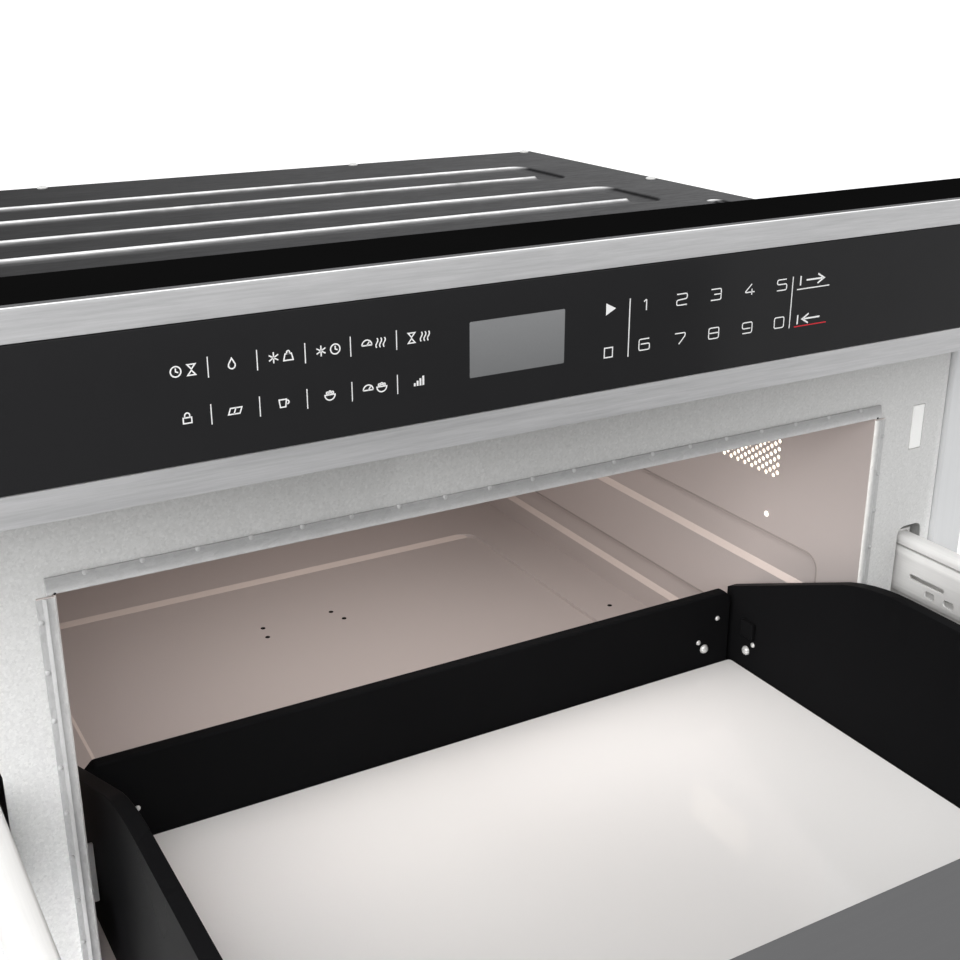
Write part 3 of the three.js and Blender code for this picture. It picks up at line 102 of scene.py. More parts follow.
def linear(colour: Colour) -> tuple[float, float, float, float]:
    """A screen colour of three values up to 255 as the shader's linear colour."""
    def channel(value: float) -> float:
        """One linear channel."""
        value /= 255
        return value / 12.92 if value <= 0.04045 else ((value + 0.055) / 1.055) ** 2.4
    return (*map(channel, colour), 1.0)


def stand(name: str, data: bpy.types.ID) -> Piece:
    """A new object of some data, in the scene."""
    made = bpy.data.objects.new(name, data)
    bpy.context.scene.collection.objects.link(made)
    return made


class Side(Enum):
    """The drawer's two sides, seen from the front."""

    LEFT = -1
    RIGHT = 1

    @property
    def word(self) -> str:
        """The side's name in the part's nodes."""
        return self.name.lower()

    def across(self, inner: float, outer: float) -> Span:
        """A pair of x values on this side, lowest first."""
        return (inner, outer) if self is Side.RIGHT else (-outer, -inner)


class Axis(Enum):
    """The axis along which an outline is drawn out."""

    X = (1, 2, 0)
    Y = (0, 2, 1)
    Z = (0, 1, 2)

    def place(self, a: float, b: float, along: float) -> Vector:
        """The point at (a, b) of the outline and at a length along the axis."""
        point = [0.0, 0.0, 0.0]
        for index, value in zip(self.value, (a, b, along)):
            point[index] = value
        return Vector(point)


class Texture(Enum):
    """The fine structure of a surface."""

    BRUSHED = "brushed_grain"
    SPANGLE = "zinc_spangle"
    COATED = "coated_grain"


# ---------------------------------------------------------------- node trees

class Graph:
    """Short calls that add and join the nodes of one tree."""

    def __init__(self, tree: bpy.types.NodeTree) -> None:
        """Works on the given tree."""
        self.tree = tree

    def add(self, kind: str, feeds: dict[str | int, object] | None = None,
            **settings: object) -> bpy.types.Node:
        """Adds a node.

        Args:
            kind: The node's type.
            feeds: Sockets or plain values for its inputs, by an input's name or number.
            settings: Properties to set on it.

        Returns:
            The new node.
        """
        made = self.tree.nodes.new(kind)
        for name, value in settings.items():
            setattr(made, name, value)
        for name, value in (feeds or {}).items():
            self.feed(made.inputs[name], value)
        return made

    def feed(self, target: Socket, value: object) -> None:
        """Joins a socket to the target, or sets the target to a plain value."""
        if isinstance(value, Socket):
            self.tree.links.new(value, target)
        else:
            target.default_value = value

    def math(self, operation: str, *values: object) -> Socket:
        """The result of a Math node on numbers or sockets."""
        return self.add("ShaderNodeMath", dict(enumerate(values)), operation=operation).outputs[0]

    def vector(self, operation: str, *values: object) -> Socket:
        """The result of a Vector Math node on vectors or sockets."""
        numbers = (0, 3) if operation == "SCALE" else range(3)
        made = self.add("ShaderNodeVectorMath", dict(zip(numbers, values)), operation=operation)
        return made.outputs["Value" if operation == "DOT_PRODUCT" else "Vector"]

    def remap(self, value: object, source: Span, target: tuple[object, object]) -> Socket:
        """A value moved from one span to another, and held inside it."""
        return self.add("ShaderNodeMapRange", {
            "Value": value, "From Min": source[0], "From Max": source[1],
            "To Min": target[0], "To Max": target[1]}).outputs["Result"]

    def weighted(self, first: object, share: float, second: object) -> Socket:
        """The sum of a share of one value and the rest of another."""
        rest = self.math("MULTIPLY", second, 1 - share)
        return self.math("ADD", self.math("MULTIPLY", first, share), rest)

    def noise(self, vector: object, scale: float, detail: float, roughness: float = 0.5) -> Socket:
        """The value of a noise texture."""
        return self.add("ShaderNodeTexNoise", {
            "Vector": vector, "Scale": scale, "Detail": detail, "Roughness": roughness}).outputs[0]

    def blend(self, factor: object, first: object, second: object) -> Socket:
        """A mix of two colours."""
        return self.add("ShaderNodeMix", {0: factor, 6: first, 7: second},
                        data_type="RGBA", clamp_factor=True).outputs[2]


NOISE_SPAN = (0.3, 0.7)  # where nearly all of a noise's values are
EFFECT_INPUTS = (
    ("Vector", "NodeSocketVector"), ("Colour", "NodeSocketColor"), ("Stretch", "NodeSocketVector"),
    ("Variation", "NodeSocketFloat"), ("Smoothest", "NodeSocketFloat"),
    ("Roughest", "NodeSocketFloat"))
EFFECT_OUTPUTS = (
    ("Colour", "NodeSocketColor"), ("Roughness", "NodeSocketFloat"), ("Height", "NodeSocketFloat"))


def effect(texture: Texture) -> bpy.types.NodeTree:
    """The node group of a fine structure, built once.

    Args:
        texture: Which structure.

    Returns:
        A group that turns a place and a colour into a varied colour, a roughness and a height.
    """
    known = bpy.data.node_groups.get(texture.value)
    if known:
        return known
    tree = bpy.data.node_groups.new(texture.value, "ShaderNodeTree")
    for name, kind in EFFECT_INPUTS:
        tree.interface.new_socket(name, in_out="INPUT", socket_type=kind)
    for name, kind in EFFECT_OUTPUTS:
        tree.interface.new_socket(name, in_out="OUTPUT", socket_type=kind)
    graph = Graph(tree)
    given, result = graph.add("NodeGroupInput").outputs, graph.add("NodeGroupOutput").inputs
    drawn = graph.vector("MULTIPLY", given["Vector"], given["Stretch"])
    if texture is Texture.BRUSHED:
        fine = graph.noise(drawn, 1.0, 4.0, 0.75)
        broad = graph.noise(graph.vector("SCALE", drawn, 0.16), 1.0, 3.0)
        height = graph.weighted(fine, 0.6, broad)
        rough = broad
    elif texture is Texture.SPANGLE:
        cells = graph.add("ShaderNodeTexVoronoi", {"Vector": drawn, "Scale": 1.0}, feature="F1")
        total = graph.vector("DOT_PRODUCT", cells.outputs["Color"], (1, 1, 1))
        crystal = graph.math("DIVIDE", total, 3.0)
        grit = graph.noise(drawn, 2.6, 3.0, 0.7)
        height = graph.weighted(crystal, 0.45, grit)
        rough = crystal
    else:
        grit = graph.noise(drawn, 1.0, 3.0, 0.6)
        cloud = graph.noise(given["Vector"], 9.0, 3.0, 0.6)
        height = graph.weighted(grit, 0.5, cloud)
        rough = cloud
    darkest = graph.math("SUBTRACT", 1.0, given["Variation"])
    lightest = graph.math("ADD", 1.0, given["Variation"])
    shade = graph.remap(height, NOISE_SPAN, (darkest, lightest))
    graph.feed(result["Colour"], graph.vector("SCALE", given["Colour"], shade))
    spread = (given["Smoothest"], given["Roughest"])
    graph.feed(result["Roughness"], graph.remap(rough, NOISE_SPAN, spread))
    graph.feed(result["Height"], height)
    return tree


# ---------------------------------------------------------------- finishes

@dataclass(frozen=True)
class Accent:
    """A second colour of a finish, shown where a mask of the mesh is full."""

    mask: str
    colour: Colour


@dataclass(frozen=True)
class Finish:
    """A surface finish, made with one Principled shader and one effect group."""

    name: str
    slot: str
    colour: Colour
    texture: Texture = Texture.COATED
    metallic: float = 0.0
    roughness: Span = (0.4, 0.5)
    specular: float = 0.5
    coat: float = 0.0
    stretch: Place = (900.0, 900.0, 900.0)
    variation: float = 0.04
    relief: float = 0.15
    relief_depth: float = 0.02
    accents: tuple[Accent, ...] = ()
    glow: float = 0.0

    def material(self) -> bpy.types.Material:
        """The finish as a material, built once.

        Returns:
            The material.
        """
        known = bpy.data.materials.get(self.name)
        if known:
            return known
        made = bpy.data.materials.new(self.name)
        made.use_nodes = True
        made.diffuse_color = linear(self.colour)
        graph = Graph(made.node_tree)
        varied = graph.add("ShaderNodeGroup", {
            "Vector": graph.add("ShaderNodeTexCoord").outputs["Object"], "Colour": self.base(graph),
            "Stretch": self.stretch, "Variation": self.variation, "Smoothest": self.roughness[0],
            "Roughest": self.roughness[1]}, node_tree=effect(self.texture)).outputs
        bump = graph.add("ShaderNodeBump", {
            "Strength": self.relief, "Distance": self.relief_depth * MM,
            "Height": varied["Height"]})
        feeds = {
            "Base Color": varied["Colour"], "Roughness": varied["Roughness"],
            "Metallic": self.metallic, "Specular IOR Level": self.specular,
            "Coat Weight": self.coat, "Coat Roughness": COAT_ROUGHNESS,
            "Normal": bump.outputs["Normal"]}
        if self.glow:
            feeds |= {"Emission Color": varied["Colour"], "Emission Strength": self.glow}
        for name, value in feeds.items():
            graph.feed(made.node_tree.nodes["Principled BSDF"].inputs[name], value)
        return made

    def base(self, graph: Graph) -> object:
        """The colour before its variation: plain, or mixed with each accent by its mask."""
        colour = linear(self.colour)
        for accent in self.accents:
            mask = graph.add("ShaderNodeAttribute", attribute_name=accent.mask).outputs["Fac"]
            colour = graph.blend(mask, colour, linear(accent.colour))
        return colour


# GALVANISED's pale accent is painted light: where its mask is full, the sheet is drawn paler, as
# where light falls on it.
GALVANISED = Finish(
    "galvanised_sheet", "galvanised_steel", (203, 203, 202), Texture.SPANGLE, 0.05, (0.45, 0.62),
    0.35, stretch=(950.0, 950.0, 950.0), variation=0.1, relief=0.3, relief_depth=0.03,
    accents=(Accent("pale", (250, 250, 249)),))
# Painted shade and light: a darker copy of the galvanised sheet for the mouth's top strip, which
# lies in shade under the fascia. The low accent makes it paler along its lower edge, where light
# falls.
GALVANISED_EDGE = Finish(
    "galvanised_strip", "galvanised_steel", (160, 160, 160), Texture.SPANGLE, 0.1, (0.45, 0.6), 0.3,
    stretch=(300.0, 1200.0, 600.0), variation=0.09, relief=0.2,
    accents=(Accent("low", (206, 206, 206)),))
# The lit accent is a painted highlight along each bead's inner edge, where the light catches it.
MOUTH_BEAD = Finish(
    "rolled_mouth_bead", "galvanised_steel", (184, 184, 184), Texture.SPANGLE, 0.1, (0.4, 0.55),
    0.3, stretch=(700.0, 700.0, 260.0), variation=0.1, relief=0.15,
    accents=(Accent("lit", (244, 243, 240)),))
PALE_FLANGE = Finish(
    "pale_galvanised_flange", "galvanised_steel", (208, 209, 210), Texture.BRUSHED, 0.1,
    (0.4, 0.55), 0.35, stretch=(500.0, 500.0, 12.0), variation=0.04, relief=0.1)
# The top cover's accents are painted light. Sheen is a painted reflection, lighter to the right and
# the front. Crease is painted shade along the grooves' upper edges and ends. Lip is a painted
# highlight on the groove walls that face the light.
COVER_STEEL = Finish(
    "dull_cover_sheet", "dull_galvanised_steel", (18, 18, 19), Texture.BRUSHED, 0.0, (0.6, 0.75),
    0.04, stretch=(60.0, 260.0, 260.0), variation=0.45, relief=0.25, accents=(
        Accent("sheen", (90, 90, 91)), Accent("crease", (24, 24, 25)),
        Accent("lip", (255, 255, 255))))
STAINLESS = Finish(
    "stainless_brushed", "stainless_steel", (178, 178, 179), Texture.BRUSHED, 0.2, (0.42, 0.52),
    0.35, stretch=(34.0, 900.0, 900.0), variation=0.19, relief=0.15, relief_depth=0.01)
# A painted highlight: near-white stainless steel for the bend at the top of the fascia's face.
STAINLESS_HIGHLIGHT = Finish(
    "stainless_bright_edge", "stainless_steel", (255, 255, 255), Texture.BRUSHED, 0.1, (0.3, 0.4),
    stretch=(9.0, 700.0, 700.0), variation=0.03, relief=0.05)
# Painted shade: a darker, duller copy of the stainless steel for faces that turn up, on the
# fascia's top return and the door's top.
SHADED_TOP_STEEL = Finish(
    "satin_steel_top", "stainless_steel", (98, 98, 99), Texture.BRUSHED, 0.0, (0.5, 0.62), 0.1,
    stretch=(9.0, 700.0, 700.0), variation=0.04, relief=0.06)
BLACK_CAP = Finish(
    "black_moulding", "black_plastic", (15, 15, 15), Texture.COATED, 0.0, (0.6, 0.7), 0.0,
    variation=0.14, relief=0.2)
BLACK_ENAMEL = Finish(
    "black_enamel_sheet", "black_enamel", (21, 21, 22), Texture.COATED, 0.0, (0.26, 0.34), 0.005,
    stretch=(1400.0, 1400.0, 1400.0), variation=0.12, relief=0.12)
CONTROL_GLASS = Finish(
    "black_control_glass", "black_glass", (39, 39, 40), Texture.COATED, 0.0, (0.12, 0.18), 0.05,
    stretch=(40.0, 40.0, 40.0), variation=0.04, relief=0.01)
SMOKED_GLASS = Finish(
    "smoked_door_glass", "black_glass", (26, 26, 28), Texture.COATED, 0.0, (0.05, 0.1), 0.5,
    coat=0.4, stretch=(30.0, 30.0, 30.0), variation=0.05, relief=0.01)
CAVITY_ENAMEL = Finish(
    "cavity_enamel", "cavity_enamel", (196, 189, 186), Texture.COATED, 0.0, (0.3, 0.42), 0.4,
    stretch=(700.0, 700.0, 700.0), variation=0.03, relief=0.2, relief_depth=0.03,
    accents=(Accent("hearth", (194, 173, 166)),))
# Painted light and shade: a paler copy of the cavity enamel for slopes where light falls, and a
# darker copy for bends that turn away from it.
LIT_ENAMEL = Finish(
    "thin_enamel", "cavity_enamel", (216, 203, 196), Texture.COATED, 0.0, (0.3, 0.42), 0.4,
    stretch=(700.0, 700.0, 700.0), variation=0.03)
SHADED_ENAMEL = replace(LIT_ENAMEL, name="shaded_enamel", colour=(158, 149, 145))
CERAMIC = Finish(
    "white_ceramic", "white_ceramic", (214, 211, 207), Texture.COATED, 0.0, (0.5, 0.6), 0.25,
    stretch=(60.0, 60.0, 60.0), variation=0.012, relief=0.04)
ZINC = Finish(
    "zinc_plated_steel", "zinc_plated_steel", (240, 239, 238), Texture.BRUSHED, 0.0, (0.36, 0.48),
    stretch=(900.0, 16.0, 900.0), variation=0.06, relief=0.1)
# Painted light: the rails glow faintly, to make up for light that doesn't reach them.
RAIL_STEEL = replace(ZINC, name="rail_steel", colour=(226, 225, 223), glow=0.03)
SCREW = Finish(
    "bright_screw", "zinc_plated_steel", (232, 232, 230), Texture.COATED, 0.45, (0.22, 0.32),
    variation=0.05, relief=0.1)
NYLON = Finish(
    "pale_nylon", "pale_nylon", (226, 226, 222), Texture.COATED, 0.0, (0.45, 0.55), 0.4,
    variation=0.04, relief=0.2)
BOARD_GREEN = Finish(
    "circuit_board_lacquer", "circuit_board", (52, 96, 62), Texture.COATED, 0.0, (0.4, 0.5),
    stretch=(160.0, 160.0, 160.0), variation=0.25, relief=0.3)
WINDING = Finish(
    "core_and_windings", "core_and_windings", (150, 96, 58), Texture.BRUSHED, 0.5, (0.4, 0.6),
    stretch=(60.0, 60.0, 900.0), variation=0.25, relief=0.6, relief_depth=0.1)
PRINT_WHITE = Finish(
    "white_key_print", "black_glass", (236, 236, 236), Texture.COATED, 0.0, (0.5, 0.6), 0.2,
    variation=0.02, relief=0.02)
PRINT_RED = Finish(
    "red_key_print", "black_glass", (206, 40, 52), Texture.COATED, 0.0, (0.5, 0.6), 0.2,
    variation=0.02, relief=0.02)
DISPLAY_FACE = Finish(
    "display_face", "display", (116, 117, 118), Texture.COATED, 0.0, (0.3, 0.4), 0.1,
    variation=0.03, relief=0.02, accents=(Accent("glare", (131, 132, 133)),))
# Painted shade: dark discs stand for small openings, whose inside lies in shade.
HOLE_SHADE = Finish(
    "dark_opening", "cavity_enamel", (18, 16, 15), Texture.COATED, 0.0, (0.8, 0.9), 0.1,
    variation=0.2, relief=0.1)
GUIDE_STEEL = Finish(
    "dull_guide_steel", "dull_galvanised_steel", (200, 199, 198), Texture.BRUSHED, 0.3, (0.4, 0.5),
    0.4, stretch=(500.0, 500.0, 40.0), variation=0.06, relief=0.1)
LATCH_WHITE = Finish(
    "white_latch", "pale_nylon", (246, 246, 244), Texture.COATED, 0.0, (0.4, 0.5), 0.4,
    variation=0.02, relief=0.05)
LIT_GLASS = Finish(
    "lit_lamp_glass", "clear_glass", (255, 250, 240), Texture.COATED, 0.0, (0.2, 0.3), 0.5,
    variation=0.01, relief=0.02, glow=1.0)


# ---------------------------------------------------------------- meshes

def arc(centre: Point, radius: float, start: float, end: float, steps: int) -> list[Point]:
    """Points of an arc, both ends included, its angles in degrees."""
    angles = (math.radians(start + (end - start) * i / steps) for i in range(steps + 1))
    return [(centre[0] + radius * math.cos(t), centre[1] + radius * math.sin(t)) for t in angles]


def rounded(a: Span, b: Span, radius: float, steps: int = 6) -> list[Point]:
    """The outline of a rectangle with rounded corners, anticlockwise."""
    corners = (
        (a[1] - radius, b[1] - radius, 0), (a[0] + radius, b[1] - radius, 90),
        (a[0] + radius, b[0] + radius, 180), (a[1] - radius, b[0] + radius, 270))
    return [p for x, y, turn in corners for p in arc((x, y), radius, turn, turn + 90, steps)]


def band(points: Sequence[Point], width: float) -> tuple[list[Point], list[Point]]:
    """The two edges of a line that has a width.

    Args:
        points: The line, mitred at its corners, and closed if its last point is its first.
        width: Its width.

    Returns:
        The left edge and the right edge.
    """
    line = [Vector(p) for p in points]
    closed = (line[0] - line[-1]).length < 1e-6 and len(line) > 3
    if closed:
        line.pop()
    count = len(line)
    left, right = [], []
    for i, point in enumerate(line):
        before = line[i - 1] if i or closed else None
        after = line[(i + 1) % count] if i < count - 1 or closed else None
        ways = [(b - a).normalized() for a, b in ((before, point), (point, after)) if a and b]
        ways = [w for w in ways if w.length > 0.5]
        way = sum(ways, Vector((0, 0))).normalized()
        normal = Vector((-way.y, way.x))
        stretch = 1 / max(0.45, normal.dot(Vector((-ways[0].y, ways[0].x))))
        left.append(tuple(point + normal * width / 2 * stretch))
        right.append(tuple(point - normal * width / 2 * stretch))
    return left, right


def framed(work: bmesh.types.BMesh, name: str) -> Mesh:
    """A mesh in the frame's metres from work in millimetres, which is freed."""
    for vertex in work.verts:
        vertex.co = at(*vertex.co)
    made = bpy.data.meshes.new(name)
    work.to_mesh(made)
    work.free()
    return made


def smooth(mesh: Mesh) -> None:
    """Shades a mesh smooth, but for its sharp edges."""
    mesh.shade_smooth()
    mesh.set_sharp_from_angle(angle=SHARP)


def strip(upper: int, lower: int, count: int) -> list[tuple[int, ...]]:
    """Faces between two rings of points, from the number of each ring's first point."""
    following = [(i + 1) % count for i in range(count)]
    return [(upper + i, upper + j, lower + j, lower + i) for i, j in enumerate(following)]


class Solid:
    """Closed bodies gathered in one mesh."""

    def __init__(self) -> None:
        """Starts empty."""
        self.mesh = bmesh.new()

    def faces(self, points: Sequence[Vector], corners: Iterable[Sequence[int]]) -> "Solid":
        """Adds faces over new points, and returns the solid."""
        made = [self.mesh.verts.new(point) for point in points]
        for face in corners:
            if len(set(face)) > 2:
                self.mesh.faces.new([made[i] for i in face])
        return self

    def prism(self, outline: Sequence[Point], axis: Axis, span: Span,
              holes: Sequence[Sequence[Point]] = ()) -> "Solid":
        """Draws an outline out along an axis.

        Args:
            outline: The outer edge.
            axis: The axis along which it is drawn.
            span: Where it starts and ends.
            holes: Edges of openings through it.

        Returns:
            The solid.
        """
        loops = [list(outline), *map(list, holes)]
        count = sum(map(len, loops))
        points = [axis.place(a, b, along) for along in span for loop in loops for a, b in loop]
        flat = tessellate_polygon([[Vector((a, b, 0)) for a, b in loop] for loop in loops])
        corners = [tuple(face) for face in flat]
        corners += [tuple(i + count for i in reversed(face)) for face in flat]
        start = 0
        for loop in loops:
            corners += strip(start, start + count, len(loop))
            start += len(loop)
        return self.faces(points, corners)

    def block(self, x: Span, y: Span, z: Span) -> "Solid":
        """Adds a block between two values on each axis."""
        return self.prism([(x[0], y[0]), (x[1], y[0]), (x[1], y[1]), (x[0], y[1])], Axis.Z, z)

    def turned(self, profile: Sequence[Point], facing: Place = (0, 0, 1),
               sides: int = 12) -> "Solid":
        """Adds a turned body that stands on the origin.

        Args:
            profile: Its radius and its height, from the axis out and down.
            facing: The direction of its height.
            sides: Faces round it.

        Returns:
            The solid.
        """
        turn = Vector(facing).to_track_quat("Z", "Y")
        points, corners = [], []
        for radius, height in profile:
            for i in range(sides):
                t = 2 * math.pi * i / sides
                points.append(turn @ Vector((radius * math.cos(t), radius * math.sin(t), height)))
        last = (len(profile) - 1) * sides
        for ring in range(0, last, sides):
            corners += strip(ring, ring + sides, sides)
        return self.faces(points, [*corners, tuple(range(last, last + sides)), tuple(range(sides))])

    def data(self, name: str) -> Mesh:
        """The finished mesh in the frame's metres, its doubles merged and its faces outwards."""
        bmesh.ops.remove_doubles(self.mesh, verts=self.mesh.verts, dist=MERGE)
        bmesh.ops.dissolve_degenerate(self.mesh, edges=self.mesh.edges, dist=MERGE)
        bmesh.ops.recalc_face_normals(self.mesh, faces=self.mesh.faces)
        return framed(self.mesh, name)


def soften(mesh: Mesh, radius: Radius) -> float:
    """Marks how far each sharp edge of a mesh is rounded.

    Args:
        mesh: The mesh, in metres.
        radius: Millimetres, or a rule that gives them from an edge's middle and direction.

    Returns:
        The widest rounding, in millimetres.
    """
    work = bmesh.new()
    work.from_mesh(mesh)
    layers = work.edges.layers.float
    layer = layers.get("bevel_weight_edge") or layers.new("bevel_weight_edge")
    widths = {}
    for edge in work.edges:
        if len(edge.link_faces) == 2 and edge.calc_face_angle(0.0) > SHARP:
            a, b = (local(vertex.co) for vertex in edge.verts)
            widths[edge.index] = radius if isinstance(radius, float) else radius((a + b) / 2, b - a)
    widest = max(widths.values(), default=0.0)
    work.edges.ensure_lookup_table()
    for index, width in widths.items():
        work.edges[index][layer] = width / widest if widest else 0.0
    work.to_mesh(mesh)
    work.free()
    smooth(mesh)
    return widest


def dress(mesh: Mesh, name: str, finish: Finish, body: str, radius: Radius = 0.25,
          nodes: Sequence[str] = ()) -> Piece:
    """Makes a mesh a finished piece of the object.

    Args:
        mesh: The mesh, in its place.
        name: The piece's name.
        finish: Its material.
        body: The body it moves with.
        radius: Rounding of its edges, in millimetres, or a rule for it.
        nodes: Nodes of the part that it stands for.

    Returns:
        The piece.
    """
    widest = soften(mesh, radius)
    piece = stand(name, mesh)
    if widest > 0:
        bevel = piece.modifiers.new("rounded_edges", "BEVEL")
        bevel.limit_method = "WEIGHT"
        bevel.width = widest * MM
        bevel.segments = 3 if widest > 1 else 2
        bevel.harden_normals = True
        bevel.miter_outer = "MITER_ARC"
    mesh.materials.clear()
    mesh.materials.append(finish.material())
    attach(piece, body)
    if nodes:
        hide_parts(*nodes)
    log.info("%s rides on %s", name, body)
    return piece


def settle(solid: Solid, name: str, finish: Finish, body: str, radius: Radius = 0.0,
           nodes: Sequence[str] = ()) -> Piece:
    """Makes a solid a finished piece: dress() of its mesh."""
    return dress(solid.data(name), name, finish, body, radius, nodes)


def merged(node: str, cut: bool = False) -> Mesh:
    """A copy of a node's mesh with its doubles merged and its flat faces joined.

    Args:
        node: The part's node.
        cut: Whether joined faces are cut into triangles again, as a face round an opening needs.

    Returns:
        The copy.
    """
    mesh = frame["nodes"][node].data.copy()
    if "custom_normal" in mesh.attributes:
        mesh.attributes.remove(mesh.attributes["custom_normal"])
    work = bmesh.new()
    work.from_mesh(mesh)
    bmesh.ops.remove_doubles(work, verts=work.verts, dist=NODE_MERGE)
    bmesh.ops.dissolve_limit(work, angle_limit=FLAT, verts=work.verts, edges=work.edges)
    if cut:
        bmesh.ops.triangulate(work, faces=[face for face in work.faces if len(face.verts) > 4])
    work.to_mesh(mesh)
    work.free()
    return mesh


def mark(mesh: Mesh, mask: str, rule: Rule) -> None:
    """Fills a mask on the faces that a rule picks.

    Args:
        mesh: The mesh, in metres.
        mask: The mask's name.
        rule: Picks a face by its middle, in millimetres from the plate's face, and its normal.
    """
    layer = mesh.attributes.new(mask, "FLOAT", "FACE")
    for polygon, value in zip(mesh.polygons, layer.data):
        value.value = float(rule(local(polygon.center), polygon.normal))


def fade(mesh: Mesh, mask: str, rule: Callable[[Vector], float]) -> None:
    """Fills a mask at the points of a mesh.

    Args:
        mesh: The mesh, in metres.
        mask: The mask's name.
        rule: Gives a point's value from its place, in millimetres from the plate's face.
    """
    layer = mesh.attributes.new(mask, "FLOAT", "POINT")
    for vertex, value in zip(mesh.vertices, layer.data):
        value.value = min(1.0, max(0.0, rule(local(vertex.co))))


def part_finish(piece: Piece, finish: Finish, rule: Rule) -> None:
    """Gives the faces of a piece that a rule picks another finish.

    Args:
        piece: The piece.
        finish: The other finish.
        rule: Picks a face by its middle, in millimetres from the plate's face, and its normal.
    """
    piece.data.materials.append(finish.material())
    index = len(piece.data.materials) - 1
    for polygon in piece.data.polygons:
        if rule(local(polygon.center), polygon.normal):
            polygon.material_index = index


def refine(node: str, finish: Finish, radius: Radius = 0.25, cut: bool = False) -> Piece:
    """Stands a merged copy with rounded edges in a node's place.

    Args:
        node: The part's node.
        finish: Its material.
        radius: Rounding of its edges, in millimetres, or a rule for it.
        cut: Whether its joined faces are cut into triangles.

    Returns:
        The piece.
    """
    body = frame["nodes"][node]["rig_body"]
    return dress(merged(node, cut), f"{node}_look", finish, body, radius, [node])


def paint(finish: Finish, *nodes: str) -> None:
    """Gives nodes that keep their own shape a finish."""
    for node in nodes:
        mesh = frame["nodes"][node].data
        mesh.materials.clear()
        mesh.materials.append(finish.material())
        log.info("%s keeps its shape", node)


# ---------------------------------------------------------------- repeated pieces

class Repeater(Enum):
    """The Geometry Nodes trees that make what repeats."""

    ROW = "row_of_shapes"
    SCATTER = "shapes_on_points"
    PERFORATION = "perforated_sheet"


HOLE_SIDES = 14  # of a hole in a perforated sheet
SHEET_MERGE = 1e-6  # metres between points of that sheet that are one
SPIN_SEED = 7  # of the turns that scattered shapes are given

REPEATER_INPUTS: dict[Repeater, tuple[tuple[str, str], ...]] = {
    Repeater.ROW: (
        ("Shape", "NodeSocketObject"), ("Start", "NodeSocketVector"), ("Step", "NodeSocketVector"),
        ("Count", "NodeSocketInt"), ("Finish", "NodeSocketMaterial")),
    Repeater.SCATTER: (
        ("Shape", "NodeSocketObject"), ("Finish", "NodeSocketMaterial"), ("Seed", "NodeSocketInt")),
    Repeater.PERFORATION: (
        *((name, "NodeSocketVector") for name in ("Low", "High", "First Hole")),
        *((name, "NodeSocketFloat")
          for name in ("Pitch", "Column Step", "Hole Radius", "Thickness")),
        *((name, "NodeSocketInt") for name in ("Columns", "Rows")),
        ("Finish", "NodeSocketMaterial")),
}


def repeater(kind: Repeater) -> bpy.types.NodeTree:
    """One of the Geometry Nodes trees, built once.

    Args:
        kind: Which tree.

    Returns:
        The tree, which ends in Realize Instances and Set Material.
    """
    known = bpy.data.node_groups.get(kind.value)
    if known:
        return known
    tree = bpy.data.node_groups.new(kind.value, "GeometryNodeTree")
    tree.interface.new_socket("Geometry", in_out="INPUT", socket_type="NodeSocketGeometry")
    for name, socket in REPEATER_INPUTS[kind]:
        tree.interface.new_socket(name, in_out="INPUT", socket_type=socket)
    tree.interface.new_socket("Geometry", in_out="OUTPUT", socket_type="NodeSocketGeometry")
    graph = Graph(tree)
    given = graph.add("NodeGroupInput").outputs
    build = {
        Repeater.ROW: row_geometry,
        Repeater.SCATTER: scatter_geometry,
        Repeater.PERFORATION: perforation_geometry,
    }[kind]
    realized = graph.add("GeometryNodeRealizeInstances", {"Geometry": build(graph, given)})
    finished = graph.add("GeometryNodeSetMaterial", {
        "Geometry": realized.outputs["Geometry"], "Material": given["Finish"]})
    graph.add("NodeGroupOutput", {"Geometry": finished.outputs["Geometry"]})
    return tree


def shape_source(graph: Graph, shape: Socket) -> Socket:
    """The geometry of an object given to a tree."""
    return graph.add("GeometryNodeObjectInfo", {"Object": shape}).outputs["Geometry"]


def row_geometry(graph: Graph, given: Sockets) -> Socket:
    """Copies of a shape on a straight line, from its start by equal steps."""
    line = graph.add("GeometryNodeMeshLine", {
        "Count": given["Count"], "Start Location": given["Start"], "Offset": given["Step"]},
        mode="OFFSET")
    return graph.add("GeometryNodeInstanceOnPoints", {
        "Points": line.outputs["Mesh"],
        "Instance": shape_source(graph, given["Shape"])}).outputs["Instances"]


def scatter_geometry(graph: Graph, given: Sockets) -> Socket:
    """Copies of a shape on the carrier's points, each turned to face along the point's facing."""
    facing = graph.add(
        "GeometryNodeInputNamedAttribute", {"Name": "facing"}, data_type="FLOAT_VECTOR")
    spin = graph.add(
        "FunctionNodeRandomValue", {3: math.pi, "Seed": given["Seed"]}, data_type="FLOAT")
    about = graph.add("ShaderNodeCombineXYZ", {"Z": spin.outputs[1]})
    turned = graph.add("FunctionNodeAlignRotationToVector", {
        "Rotation": about.outputs["Vector"], "Vector": facing.outputs["Attribute"]}, axis="Z")
    return graph.add("GeometryNodeInstanceOnPoints", {
        "Points": given["Geometry"], "Instance": shape_source(graph, given["Shape"]),
        "Rotation": turned.outputs["Rotation"]}).outputs["Instances"]


